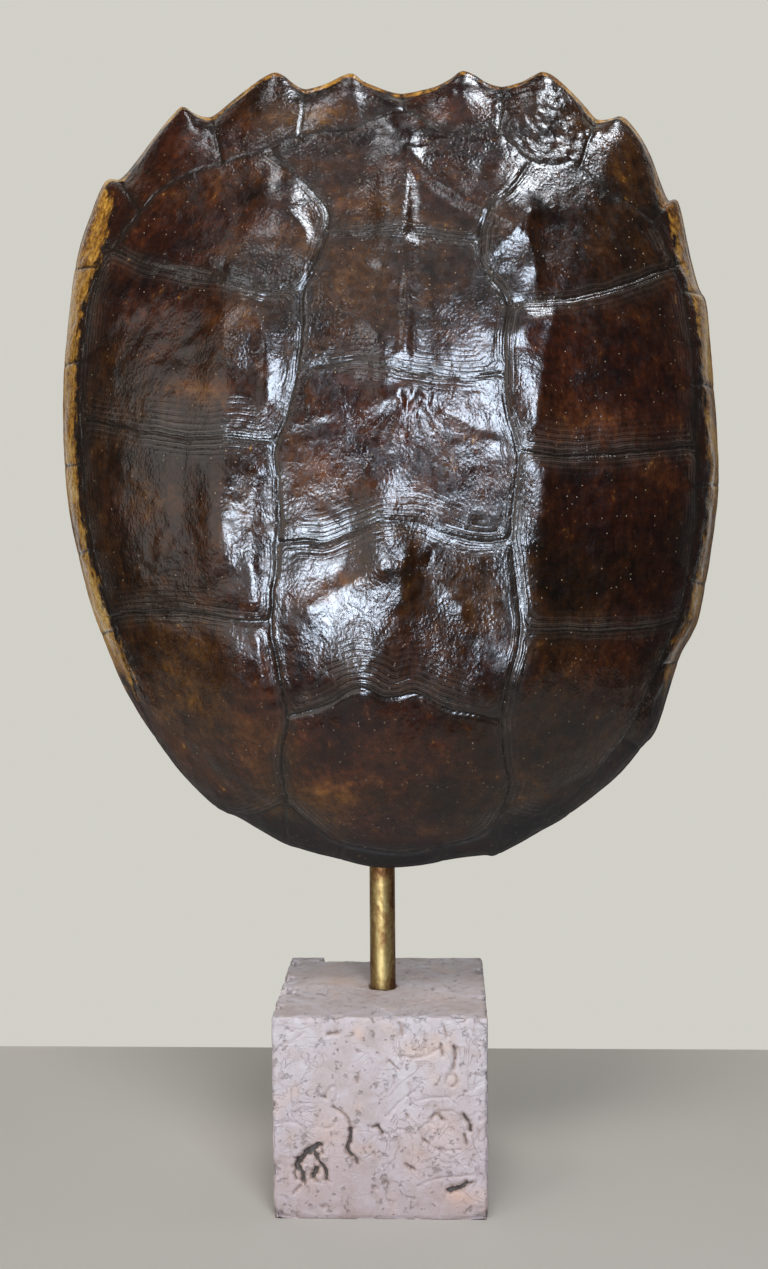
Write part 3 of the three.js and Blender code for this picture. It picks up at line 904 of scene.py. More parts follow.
def horn_relief(base, seam, rings, depth, settings):
    """Millimetres by which the horn stands out from the bare surface."""
    x, z = base[:, 0], base[:, 2]
    sunk = settings.seam_depth / MM * depth
    valley = -sunk * np.exp(-seam / 7)
    groove = -sunk * np.exp(-((seam / 0.75) ** 2))
    lip = 0.15 * depth * np.exp(-(((seam - 2.2) / 1.0) ** 2))
    ring = ring_relief(base, seam, rings, depth, settings)
    swell = raised(x, z, SWELLINGS)
    lumps = 0.55 * rough(base, 26, 3, 1.0) + 0.22 * rough(base, 8, 3, 4.0)
    lumps = lumps + 0.10 * rough(base, 3.2, 2, 6.0)
    at_x, at_z, reach = CRUMPLED
    crumple = np.exp(-(((x - at_x) / reach) ** 4) - ((z - at_z) / reach) ** 4)
    crease = 0.7 * crumple * (1 - 2 * abs(rough(base * [0.9, 1, 1.5], 5.5, 3, 9.0)))
    drawn = valley + groove + lip + ring
    return drawn + swell + lumps + crease + crest_height(x, z) + fan_height(x, z)


def amber_share(x, z, angle, edge):
    """How much of the thin amber edge shows: most at the sides, a line round the teeth."""
    side = smooth_step(np.abs(np.cos(angle)), 0.35, 0.8) * (1 - smooth_step(z, 128, 146))
    tail = (np.sin(angle) > 0) * (1 - side)
    sides = np.where(x > 0, AMBER_RIGHT, AMBER_LEFT) + gauss_sum(x, z, [AMBER_PATCH])
    width = AMBER_TAIL * tail + sides * side + AMBER_NECK * (1 - side) * (1 - tail)
    low = smooth_step(z, -118, -84)
    strength = (0.62 + 0.30 * side) * low
    return strength * (1 - smooth_step(edge, width * 0.35, width))


def worn_share(x, z, angle, edge):
    """How much of the varnish is gone: along the rim, and most over the neck."""
    neck = smooth_step(-np.sin(angle), 0.45, 0.95)
    width = 7 + 20 * neck
    teeth = smooth_step(np.sin(angle), 0.3, 0.6)
    return (1 - smooth_step(edge, 0.3 * width, width)) * (0.75 + 0.25 * neck) * (1 - teeth)


def pull_to_seams(x, z, out, curves):
    """Moves the grid towards the seams, so that thin grooves have enough points."""
    side_x, side_z = wobble(x, z)
    _, place, away, _ = Lines(curves).nearest(np.stack([x + side_x, z + side_z], 1))
    place = place - np.stack([side_x, side_z], 1)
    share = np.clip(away / PULL_REACH, 0, 1)
    nearer = share * (PULL + (1 - PULL) * share) / np.maximum(share, 1e-9)
    move = (1 - nearer) * (1 - smooth_step(out, 0.95, 0.995))
    return x + (place[:, 0] - x) * move, z + (place[:, 1] - z) * move


def outer_side(bm, settings):
    """The horn: the domed sheet with its seams, rings, knobs and crests."""
    verts, out, angle = new_sheet(bm, OUTER_STEPS)
    out = np.sin(out * SPREAD) / math.sin(SPREAD)
    reach = out * full_reach(out, angle)
    curves, rings_left, rings_right, depths = seam_curves()
    x, z = pull_to_seams(reach * np.cos(angle), reach * np.sin(angle), out, curves)

    base = on_shell(x, z)
    base[:, 1] = np.where(out > 1 - 1e-6, edge_depth(z), base[:, 1])
    put(verts, from_shell(base))
    bm.normal_update()
    normals = np.array([v.normal for v in verts])
    if normals[:, 1].sum() > 0:
        bmesh.ops.reverse_faces(bm, faces=bm.faces[:])
        bm.normal_update()
        normals = -normals

    side_x, side_z = wobble(x, z)
    drawn = [on_shell(curve[:, 0], curve[:, 1]) for curve in curves]
    found, _, seam, side = Lines(drawn).nearest(on_shell(x + side_x, z + side_z))
    ring_reach = np.where(side > 0, rings_left[found], rings_right[found])
    rings = np.exp(-((seam / np.maximum(ring_reach, 0.1)) ** 2)) * smooth_step(ring_reach, 1, 6)
    edge = rim_reach(angle) - np.hypot(x, z)
    relief = horn_relief(base, seam, rings, depths[found], settings)
    relief = relief * mix(0.35, 1, smooth_step(edge, 0, 3))
    put(verts, from_shell(base + normals * relief[:, None]))
    tone = HORN_TONE + gauss_sum(x, z, PATCHES)
    store(bm, verts, seam=np.minimum(seam, SEAM_FAR), rings=rings, tone=tone,
          amber=amber_share(x, z, angle, edge), worn=worn_share(x, z, angle, edge))


EDGE_ROLL = [(0.5, 0.7), (0.5, 0.7), (-0.6, 0.8), (-1.6, 0.5)]


def rolled_edge(bm):
    """Carries the horn round the thin edge: steps outward and back, in millimetres."""
    border = [e for e in bm.edges if e.is_boundary]
    for outward, back in EDGE_ROLL:
        verts, border = grow_border(bm, border)
        points = places(verts) / MM
        away = points - [SHELL_X, 0, SHELL_Z]
        away[:, 1] = 0
        away = away / np.linalg.norm(away, axis=1)[:, None]
        put(verts, (points + away * outward + [0, back, 0]) * MM)
    return border


WALL = 5.5
EDGE_WALL = 8.5
WALL_END = 0.84
LIP_START = 0.9
LIP_WIDTH = 15
LIP_HEIGHT = 9
BACKBONE_WIDTH = 10
BACKBONE_HEIGHT = 9
VERTEBRA_LENGTH = 34
RIB_SPACING = 34
RIB_HEIGHT = 2.4
RIB_WIDTH = 5.5
SUTURE_WIDTH = 0.9
MIDDLE_SUTURE = 19


def bare_point(out, angle):
    reach = out * full_reach(out, angle)
    x = reach * np.cos(angle)
    z = reach * np.sin(angle)
    return np.stack([x, surface_depth(x, z, out, angle), z], 1)


def wall_inside(out, angle, thickness):
    """The wall's inner side and its normal, one thickness in from the outer side."""
    step = 0.01
    point = bare_point(out, angle)
    further = bare_point(out + step, angle)
    turned = bare_point(out + step, angle + step)
    inward = np.cross(turned - further, further - point)
    inward = inward / np.maximum(np.linalg.norm(inward, axis=1), 1e-9)[:, None]
    inward = inward * np.where(inward[:, 1] < 0, -1, 1)[:, None]
    return point + inward * thickness[:, None], inward


def off_nearest(phase):
    """Millimetres from the nearest rib, for a place that is counted in ribs."""
    return abs(phase - np.round(phase)) * RIB_SPACING


def inner_relief(wall, share):
    """Backbone and rib heights, the bone's seams, and the share of painted shade in the hollows beside
    the backbone.
    """
    x, z = wall[:, 0], wall[:, 2]
    fade = 1 - smooth_step(share, 0.5, 0.92)
    joint = 0.5 + 0.5 * np.cos(TURN * (z + 8) / VERTEBRA_LENGTH)
    width = BACKBONE_WIDTH * (0.72 + 0.4 * joint)
    spine = BACKBONE_HEIGHT * fade * np.exp(-((x / width) ** 2)) * (0.8 + 0.25 * joint)
    bow = z + 0.0016 * x**2
    along = smooth_step(abs(x), 8, 24) * (1 - smooth_step(share, 0.86, 0.99))
    rib = RIB_HEIGHT * along * np.exp(-((off_nearest(bow / RIB_SPACING) / RIB_WIDTH) ** 2))
    zigzag = 1.6 * np.sign(np.sin(x * 1.4)) * np.abs(np.sin(x * 1.4)) ** 0.5
    off_suture = off_nearest((bow + zigzag) / RIB_SPACING + 0.5)
    off_middle = abs(abs(x) - MIDDLE_SUTURE - 1.2 * np.sin(z * 0.9))
    suture = np.exp(-((np.minimum(off_suture, off_middle) / SUTURE_WIDTH) ** 2)) * fade
    # Painted shade: how far a place lies in the hollows beside the backbone, which the bone's colour
    # darkens.
    hollow = np.exp(-((spine / 4) ** 2)) * np.exp(-((abs(x) - 16) / 9) ** 2) * fade
    return spine, rib, suture, hollow


def lip_points(out, angle, wall):
    """The lip: up from the wall's foot to its crest, then down to the rim."""
    over = np.clip((out - LIP_START) / (1 - LIP_START), 0, 1)
    rise = smooth_step(over, 0, 0.45)
    run = smooth_step(over, 0.4, 1)
    foot_reach = np.hypot(wall[:, 0], wall[:, 2])
    crest_reach = smooth_reach(angle) - LIP_WIDTH
    reach = mix(mix(foot_reach, crest_reach, rise), rim_reach(angle) - 1.2, run)
    x = reach * np.cos(angle)
    z = reach * np.sin(angle)
    crest = edge_depth(z) + 1 + 0.5 * rough(np.stack([x, z, z * 0], 1), 12, 3, 18.0)
    y = mix(mix(wall[:, 1], crest, rise), edge_depth(z) + 2.8, run)
    return np.stack([x, y, z], 1)


def inner_side(bm):
    """The hollow: ribs run out from the backbone, and a thick lip stands behind the edge."""
    verts, out, angle = new_sheet(bm, INNER_STEPS)
    share = np.clip(out / LIP_START, 0.01, 1)
    wall_out = np.sin(share * SPREAD) / math.sin(SPREAD) * WALL_END
    thickness = mix(WALL, EDGE_WALL, smooth_step(share, 0.75, 1))
    wall, inward = wall_inside(wall_out, angle, thickness)
    spine, rib, suture, hollow = inner_relief(wall, share)
    lumps = 0.7 * rough(wall, 24, 3, 12.0) + 0.25 * rough(wall, 6, 3, 15.0)
    wall = wall + inward * (rib + lumps - 0.5 * suture)[:, None] + np.outer(spine, [0, 1, 0])
    wall[:, 1] = np.minimum(wall[:, 1], edge_depth(wall[:, 2]) - LIP_HEIGHT)
    on_lip = (out > LIP_START)[:, None]
    put(verts, from_shell(np.where(on_lip, lip_points(out, angle, wall), wall)))
    # The bone's seams, and the painted shade of the hollows beside the backbone, for the bone's colour.
    store(bm, verts, suture=suture * (out < LIP_START), hollow=hollow * (out < LIP_START))
    for face in {f for v in verts for f in v.link_faces}:
        face.material_index = 1
    return verts


def build_carapace(settings):
    bm = new_bmesh("seam", "rings", "tone", "amber", "worn", "suture", "hollow")
    outer_side(bm, settings)
    border = rolled_edge(bm)
    inner = inner_side(bm)
    inner_border = [e for e in bm.edges if e.is_boundary and e.verts[0] in set(inner)]
    bridged = bmesh.ops.bridge_loops(bm, edges=border + inner_border)
    for face in bridged["faces"]:
        face.material_index = 1
    bmesh.ops.recalc_face_normals(bm, faces=bm.faces[:])
    materials = [horn_finish(settings), bone_finish(settings)]
    return add_piece("carapace_horn_and_bone", bm, materials, "horn", "carapace")


# ---- the travertine block ----

BLOCK_STEPS = 120
HOLE_RADIUS = 6.9
HOLE_RING = 6
HOLE_BLEND = 15

# Cracks in the front: points, half width, depth.
FRONT_CRACKS = [
    ([(-28.4, 35.9), (-33.7, 32.8), (-37.8, 28.2), (-39.5, 25.5)], 1.3, 3.4),
    ([(-39.5, 25.5), (-36.4, 21.8), (-36, 18.6)], 0.9, 2.4),
    ([(-39.5, 25.5), (-40.2, 22), (-39.5, 19.1)], 0.6, 1.6),
    ([(-31.1, 32.8), (-28.4, 27.3), (-25.7, 23.6), (-25.3, 19.1)], 0.8, 2.4),
    ([(-30.2, 23.6), (-31.5, 20.5)], 1.2, 2.6), ([(-40.9, 12.3), (-37.3, 16.4)], 0.6, 1.2),
    ([(-29.7, 35.5), (-27.5, 34.1), (-27.2, 32)], 0.7, 1.6),
    ([(-22.1, 54.2), (-18.6, 52.3), (-15, 48.7), (-13.7, 43.7)], 0.6, 1.4),
    ([(-13.7, 43.7), (-14.1, 38.2), (-15.5, 34.6), (-14.1, 31.8)], 0.9, 2.8),
    ([(-14.1, 31.8), (-11.4, 29.1), (-10.6, 26.8)], 0.8, 1.8),
    ([(-3.4, 44.6), (-0.7, 44.8), (1, 41.8)], 0.8, 1.7),
    ([(24.2, 49.1), (26.5, 51), (29.1, 48.7)], 0.8, 1.6),
    ([(39.4, 50.5), (41.6, 47.3), (42.9, 42.8)], 0.8, 1.8), ([(39.8, 40.9), (40.7, 36.4)], 0.6, 1.5),
    ([(34.9, 83.8), (35.4, 79.2), (34.5, 72.8)], 0.7, 1.6), ([(28.7, 84.7), (29.6, 79.2)], 0.6, 1.4),
    ([(4.6, 76.5), (8.6, 72.8)], 0.6, 1.2), ([(32.7, 14.1), (37.6, 15.4), (40.3, 17.3)], 1.2, 2.6),
    ([(40.3, 17.3), (42.9, 18.2)], 0.8, 1.6), ([(-23.9, 89.2), (-19.5, 89.6)], 0.9, 1.4),
    ([(20.5, 38.7), (22.5, 37)], 0.8, 1.6), ([(12.2, 26.8), (16.2, 24.1)], 0.8, 1.5),
    ([(2.4, 18.2), (3.6, 17.6)], 0.8, 1.4), ([(-2.5, 15.9), (-2.1, 15.2)], 0.6, 1.1),
    ([(-26.1, 59.2), (-25.7, 58.8)], 0.9, 1.6), ([(-10.1, 81), (-9.8, 80.6)], 0.7, 1.3),
    ([(-44.4, 85.6), (-44, 85.2)], 0.7, 1.2), ([(-43, 92), (-42.4, 91.6)], 0.7, 1.2),
    ([(-10.5, 67.6), (-10.3, 66.2)], 0.6, 1.2), ([(40.1, 62.2), (40.4, 61.8)], 0.6, 1.2),
    ([(12.6, 50.8), (13.4, 48.8)], 0.6, 1.2), ([(-27.9, 5.9), (-27.2, 5.6)], 0.8, 1.2),
    ([(13.4, 10.8), (16, 10.3)], 0.5, 0.9), ([(47, 49.4), (47.2, 48.2)], 0.6, 1.0),
    ([(30, 94), (31, 90), (31.5, 88)], 0.6, 1.2), ([(9, 95), (10.5, 92), (11, 89)], 0.7, 1.3),
]

# Faint curved traces of old shells in the front: points, half width, depth.
FRONT_TRACES = [
    ([(13.5, 65.6), (15.1, 61.9), (11, 58.3), (6.5, 53.7), (3.7, 50.1)], 0.6, 0.45),
    ([(19.8, 40.1), (19.8, 44.6), (22.4, 46.9), (25.1, 46.9)], 0.6, 0.55),
    ([(26.9, 52.3), (34.9, 52.3), (38.5, 47.3), (40.3, 41.9)], 0.6, 0.5),
    ([(20.5, 38.2), (26, 34.6), (31.4, 33.7), (38, 34)], 0.6, 0.5),
    ([(4.6, 40.1), (8.2, 43.7), (12.7, 42.8), (15.3, 38.2), (16, 33)], 0.6, 0.5),
    ([(18, 16.4), (25.1, 19.6), (34.9, 20.9), (43.8, 21.8)], 0.7, 0.5),
    ([(17.7, 57.4), (22.2, 58.7), (27.5, 59.2), (33, 59)], 0.5, 0.5),
    ([(31, 66), (33.5, 64), (36, 66), (35.5, 69), (32, 70), (31, 66)], 0.6, 0.6),
    ([(44, 63), (46, 66), (49, 67)], 0.6, 0.5), ([(10, 79), (17, 78), (24, 80), (28, 83)], 0.8, 0.6),
    ([(-24, 62), (-22, 64.5), (-20, 62), (-21, 57)], 0.6, 0.5),
    ([(-50, 82), (-42, 85), (-35, 90)], 0.5, 0.4),
    ([(-49, 46), (-42, 47), (-36, 45)], 0.5, 0.35), ([(20, 97), (22, 88), (21, 80)], 0.7, 0.5),
    ([(-30, 45), (-24, 44), (-20, 48), (-21, 52)], 0.7, 0.4), ([(26, 30), (31, 27), (36, 28)], 0.6, 0.4),
]

# Rust stains, in the front and on the top: place on the face, half widths, strength.
FRONT_STAINS = [
    (20, 82, 12, 5, 0.5), (37, 11, 7, 5, 0.6), (28, 40, 18, 12, 0.28), (-24, 42, 10, 12, 0.34),
    (-9.7, 90, 2.6, 3, 0.6), (16, 28, 5, 8, 0.3), (-34, 22, 12, 10, 0.24), (34, 67, 4, 4, 0.4),
]
TOP_STAINS = [(-23, 6, 14, 9, 0.6), (30, -20, 12, 8, 0.25)]
CRACK_PULL = 7
PIT_DEPTH = 2.6

# A point of the unit cube further out than this is on one of its faces.
FACE = 0.5 - 1e-6

# Chips out of the block's edges: x, y, z, radius, depth.
CHIPS = [
    (-50, -50, 1, 5, 1.6), (50, -50, 2, 4, 1.4), (-46, -50, 0, 4, 0.9), (45, -50, 0, 3, 0.8),
    (37, -50, 97, 4, 1.6), (-50, -36, 97, 5, 2.6), (-50, -10, 97, 7, 3.6), (-50, 12, 97, 6, 2.8),
    (-50, 40, 97, 5, 2.4), (50, -20, 97, 4, 1.6), (50, 26, 97, 5, 2.0), (50, -50, 70, 3, 1.2),
    (-50, -50, 55, 3, 1.4), (-50, -50, 24, 4, 1.4), (20, -50, 97, 3, 1.0), (-20, -50, 97, 3, 0.9),
    (50, 50, 30, 6, 2.4), (-50, 50, 60, 5, 2.0),
]

# A piece broken out of the top's back edge: from x, to x, and where it starts in y.
MISSING_STRIP = (-33, -4, 41.5)
MISSING_DEPTH = 7
MISSING_HEIGHT = 9
HOLE_LIP = 8
HOLE_FLOOR_GAP = 0.3


def stone_pits(points, normal):
    """Depth of the pits at each point of one face, in millimetres."""
    if normal[1] < -0.5:
        ragged = np.clip(1 + 0.8 * rough(points, 2.0, 3, 21.0), 0.5, 3)
        total = np.zeros(len(points))
        for curve, half_width, depth in [*FRONT_CRACKS, *FRONT_TRACES]:
            _, _, away, _ = Lines([curve_through(curve, SEAM_STEP)]).nearest(points[:, ::2])
            total = np.maximum(total, depth * np.exp(-(away * ragged / half_width) ** 2))
        return total
    crowd = rough(points, 34, 2, 30.0 + normal[0] * 3)
    holes = rough(points * [1, 1, 1.4], 5.5, 3, 33.0 + normal[1])
    depth = smooth_step(holes, 0.34, 0.75) * smooth_step(crowd, 0.0, 0.35) * PIT_DEPTH
    return depth * (0.4 if normal[2] > 0.5 else 1)


def round_the_hole(points, top):
    """Bends the top's grid to a circle round the hole, and gives each point's square ring."""
    cell = 2 * BLOCK_HALF / BLOCK_STEPS
    ring = np.maximum(abs(points[:, 0]), abs(points[:, 1])) / cell
    distance = np.hypot(points[:, 0], points[:, 1])
    rounded = HOLE_RADIUS * ring / HOLE_RING
    direction = np.arctan2(points[:, 1], points[:, 0])
    goal = mix(rounded, distance, smooth_step(ring, HOLE_RING, HOLE_BLEND))
    near = top & (ring < HOLE_BLEND) & (distance > 1e-6)
    points[near, 0] = (goal * np.cos(direction))[near]
    points[near, 1] = (goal * np.sin(direction))[near]
    return ring


def pull_to_cracks(points, cube):
    """Moves the front's grid towards the cracks, so that thin ones have enough points."""
    off_edges = (abs(cube[:, 0]) < FACE) & (abs(cube[:, 2]) < FACE)
    front = np.flatnonzero((cube[:, 1] < -FACE) & off_edges)
    flat = points[front][:, ::2]
    drawn = Lines([curve_through(curve, SEAM_STEP) for curve, _, _ in FRONT_CRACKS + FRONT_TRACES])
    _, place, away, _ = drawn.nearest(flat)
    share = np.clip(away / CRACK_PULL, 0, 1)
    to_side = BLOCK_HALF - abs(flat[:, 0])
    to_end = BLOCK_TOP / 2 - abs(flat[:, 1] - BLOCK_TOP / 2)
    move = (1 - PULL) * (1 - share) * smooth_step(np.minimum(to_side, to_end), 1, 8)
    points[front, 0] += (place[:, 0] - flat[:, 0]) * move
    points[front, 2] += (place[:, 1] - flat[:, 1]) * move


def face_pits(points, cube):
    """Depth of the pits on all faces but the underside."""
    pit = np.zeros(len(points))
    for axis in range(3):
        for sign in (-1, 1):
            on_face = cube[:, axis] * sign > FACE
            facing = np.eye(3)[axis] * sign
            if facing[2] < -0.5:
                continue
            pit[on_face] = np.maximum(pit[on_face], stone_pits(points[on_face], facing))
    return pit


def worn_edges(points):
    """Depth by which the sawn edges have worn round."""
    inside = np.array([BLOCK_HALF, BLOCK_HALF, BLOCK_TOP / 2])
    to_edge = inside - abs(points - [0, 0, BLOCK_TOP / 2])
    nearest = np.sort(to_edge, axis=1)[:, 1]
    worn = np.exp(-((nearest / 1.1) ** 2)) * (0.9 + 0.7 * rough(points, 7, 3, 42.0))
    return np.maximum(worn, 0)


def hole_crumbs(points, top):
    """Depth of the crumbled stone round the hole's edge."""
    away = np.hypot(points[:, 0], points[:, 1]) - HOLE_RADIUS
    crumbs = top * np.exp(-(away / 1.4) ** 2) * (0.7 + rough(points, 2.2, 2, 40.0))
    return np.maximum(crumbs, 0)


def add_chips(depth, points):
    """Adds the chips and the broken piece to the depths it is given."""
    ragged = 1 + 0.5 * rough(points, 4, 3, 48.0)
    for x, y, z, radius, deep in CHIPS:
        away = np.linalg.norm(points - [x, y, z], axis=1) / radius
        depth += deep * (1 - smooth_step(away * ragged, 0.45, 1.0))
    left, right, back = MISSING_STRIP
    strip = (points[:, 0] > left) * (points[:, 0] < right)
    strip = strip * (points[:, 2] > BLOCK_TOP - MISSING_HEIGHT)
    behind = smooth_step(points[:, 1] + rough(points, 8, 3, 50.0) * 1.2, back, back + 1.5)
    depth += strip * MISSING_DEPTH * behind


def stone_stain(points, cube, top):
    """Share of rust stain: drawn on the front and the top, and faint patches all over."""
    front = gauss_sum(points[:, 0], points[:, 2], FRONT_STAINS) * (cube[:, 1] < -FACE)
    upper = gauss_sum(points[:, 0], points[:, 1], TOP_STAINS) * top
    return front + upper + 0.3 * smooth_step(rough(points, 20, 3, 52.0), 0.3, 0.7)


def build_block(settings):
    bm = new_bmesh("pit", "stain")
    bmesh.ops.create_cube(bm, size=1)
    bmesh.ops.subdivide_edges(bm, edges=bm.edges[:], cuts=BLOCK_STEPS - 1, use_grid_fill=True)
    cube = places(bm.verts)
    points = cube * [2 * BLOCK_HALF, 2 * BLOCK_HALF, BLOCK_TOP] + [0, 0, BLOCK_TOP / 2]
    top = cube[:, 2] > FACE
    under = cube[:, 2] < -FACE
    ring = round_the_hole(points, top)
    pull_to_cracks(points, cube)
    bm.normal_update()
    inward = np.array([v.normal for v in bm.verts])
    inward[under, 2] = 0

    pit = face_pits(points, cube)
    crumbs = hole_crumbs(points, top)
    fill = rough(points, 12, 3, 44.0) * 0.12 + rough(points, 3, 2, 46.0) * 0.08
    depth = pit + worn_edges(points) + crumbs * 0.8 + fill + 0.12
    add_chips(depth, points)
    points = points - inward * np.maximum(depth, 0)[:, None]
    points[under, 2] = 0
    put(bm.verts, points * MM)
    # Share of pit depth, with the crumbs round the hole, for the stone's rust and its painted shade in
    # deep pits.
    pit_share = np.minimum(pit / PIT_DEPTH + crumbs * 0.6, 1)
    store(bm, bm.verts, pit=pit_share, stain=stone_stain(points, cube, top))
    drill_hole(bm, top, ring)
    bmesh.ops.recalc_face_normals(bm, faces=bm.faces[:])
    return add_piece("travertine_block", bm, [stone_finish(settings)], "travertine", "block")


def drill_hole(bm, top, ring):
    """Takes out the top inside the hole's edge and sinks the rim to the hole's floor."""
    bm.verts.ensure_lookup_table()
    core = {bm.verts[i] for i in np.flatnonzero(top & (ring < HOLE_RING - 0.5))}
    doomed = [f for f in bm.faces if any(v in core for v in f.verts)]
    bmesh.ops.delete(bm, geom=doomed, context="FACES")
    border = [e for e in bm.edges if e.is_boundary]
    radius = HOLE_RADIUS * MM
    for height in (BLOCK_TOP - HOLE_LIP, ROD_LOW[2] - HOLE_FLOOR_GAP):
        verts, border = grow_border(bm, border)
        for v in verts:
            angle = math.atan2(v.co.y, v.co.x)
            v.co = (radius * math.cos(angle), radius * math.sin(angle), height * MM)
    bmesh.ops.contextual_create(bm, geom=border)


# ---- the brass rod ----

ROD_SIDES = 72
ROD_CUTS = 60
ROD_BEVEL = 0.8


def build_rod(settings):
    bm = bmesh.new()
    length = (ROD_HIGH[2] - ROD_LOW[2]) * MM
    bmesh.ops.create_cone(bm, cap_ends=True, segments=ROD_SIDES, radius1=ROD_RADIUS * MM,
                          radius2=ROD_RADIUS * MM, depth=length)
    bmesh.ops.translate(bm, verts=bm.verts[:], vec=(0, 0, ROD_LOW[2] * MM + length / 2))
    ends = [e for e in bm.edges if abs(e.verts[0].co.z - e.verts[1].co.z) < 1e-6]
    bmesh.ops.bevel(bm, geom=ends, offset=ROD_BEVEL * MM, offset_type="OFFSET", segments=3,
                    profile=0.5, affect="EDGES", material=-1, clamp_overlap=True)
    sides = [e for e in bm.edges if abs(e.verts[0].co.z - e.verts[1].co.z) > length / 2]
    bmesh.ops.subdivide_edges(bm, edges=sides, cuts=ROD_CUTS)
    points = places(bm.verts) / MM
    dents = 0.05 * rough(points, 14, 3, 60.0) + 0.03 * rough(points, 4, 2, 62.0) - 0.03
    away = points * [1, 1, 0]
    away = away / np.maximum(np.linalg.norm(away, axis=1), 1e-9)[:, None]
    put(bm.verts, (points + away * dents[:, None]) * MM)
    bmesh.ops.recalc_face_normals(bm, faces=bm.faces[:])
    return add_piece("brass_rod", bm, [brass_finish(settings)], "aged_brass", "rod")


# ---- the putty inside the shell ----

PUTTY_ROUNDS = 5
PUTTY_BURIED = 22


def build_putty(settings):
    bm = bmesh.new()
    bmesh.ops.create_icosphere(bm, subdivisions=PUTTY_ROUNDS, radius=1)
    ball = places(bm.verts)
    half = (PUTTY_HIGH - PUTTY_LOW) / 2
    middle = (PUTTY_HIGH + PUTTY_LOW) / 2
    depth = PUTTY_HIGH[1] - middle[1] + PUTTY_BURIED
    points = ball * [half[0], depth, half[2]] + [0, PUTTY_HIGH[1] - depth, middle[2]]
    lumps = 1.6 * rough(points, 20, 2, 70.0) + 0.7 * rough(points, 7, 3, 72.0)
    points = points + ball * (lumps - 1.5)[:, None]
    x = points[:, 0] - SHELL_X
    z = points[:, 2] - SHELL_Z
    wall = on_shell(x, z)[:, 1] + WALL + 0.5
    points[:, 1] = np.maximum(points[:, 1], wall - 1)
    put(bm.verts, points * MM)
    return add_piece("fixing_putty", bm, [putty_finish(settings)], "putty", "putty")


# ---- the stage ----

FLOOR_HALF_WIDTH = 0.6
FLOOR_FRONT = -0.30
FLOOR_BACK = 0.19
PAPER_STEPS = 24
ROOM_COLOUR = (0.86, 0.88, 0.92)

CAMERA_PLACE = (0.030, -0.780, 0.334)
CAMERA_PAN = -2.07
CAMERA_TILT = 4.5
CAMERA_ROLL = -0.43
FRAME_HEIGHT = 1269
FOCAL_PIXELS = 1600
SENSOR = 36


def build_floor(settings):
    floor = bmesh.new()
    bmesh.ops.create_grid(floor, x_segments=PAPER_STEPS, y_segments=PAPER_STEPS, size=1)
    middle = (FLOOR_BACK + FLOOR_FRONT) / 2
    half_depth = (FLOOR_BACK - FLOOR_FRONT) / 2
    for v in floor.verts:
        v.co = (v.co.x * FLOOR_HALF_WIDTH, middle + v.co.y * half_depth, 0)
    add_piece("floor_paper", floor, [paper_finish(settings)])


def build_room(settings):
    """Faint even light from all round, with a plain pale backdrop tone where the view is empty."""
    world = bpy.data.worlds.new("studio")
    world.use_nodes = True
    tree = world.node_tree
    seen = tree.nodes.new("ShaderNodeLightPath").outputs["Is Camera Ray"]
    tone = tree.nodes.new("ShaderNodeMix")
    tone.data_type = "RGBA"
    tree.links.new(seen, tone.inputs["Factor"])
    tone.inputs[6].default_value = (*[settings.room_light * c for c in ROOM_COLOUR], 1)
    tone.inputs[7].default_value = (*settings.backdrop_colour, 1)
    tree.links.new(tone.outputs[2], tree.nodes["Background"].inputs["Color"])
    bpy.context.scene.world = world


def add_light(name, place, target, size, brightness, colour, acts_on):
    light = bpy.data.lights.new(name, "AREA")
    light.shape = "RECTANGLE"
    light.size, light.size_y = size
    light.energy = brightness * math.pi * size[0] * size[1]
    light.color = colour
    lamp = bpy.data.objects.new(name, light)
    bpy.context.scene.collection.objects.link(lamp)
    lamp.visible_camera = False
    lamp.visible_glossy = acts_on != "matt"
    lamp.visible_diffuse = acts_on != "gloss"
    lamp.location = place
    lamp.rotation_euler = (Vector(target) - Vector(place)).to_track_quat("-Z", "Y").to_euler()


def build_camera():
    camera = bpy.data.cameras.new("camera")
    camera.sensor_width = SENSOR
    camera.sensor_height = SENSOR
    camera.lens = SENSOR * FOCAL_PIXELS / FRAME_HEIGHT
    camera.clip_start = 0.01
    camera.clip_end = 20
    holder = bpy.data.objects.new("camera", camera)
    bpy.context.scene.collection.objects.link(holder)
    pan, tilt, roll = (math.radians(a) for a in (CAMERA_PAN, CAMERA_TILT, CAMERA_ROLL))
    ahead = Vector((math.sin(pan) * math.cos(tilt), math.cos(pan) * math.cos(tilt), -math.sin(tilt)))
    level = Vector((math.cos(pan), -math.sin(pan), 0))
    upright = level.cross(ahead)
    right = level * math.cos(roll) + upright * math.sin(roll)
    up = upright * math.cos(roll) - level * math.sin(roll)
    turned = holder.matrix_world.to_3x3()
    turned.col[0], turned.col[1], turned.col[2] = right, up, -ahead
    holder.rotation_mode = "QUATERNION"
    holder.rotation_quaternion = turned.to_quaternion()
    holder.location = CAMERA_PLACE
    bpy.context.scene.camera = holder


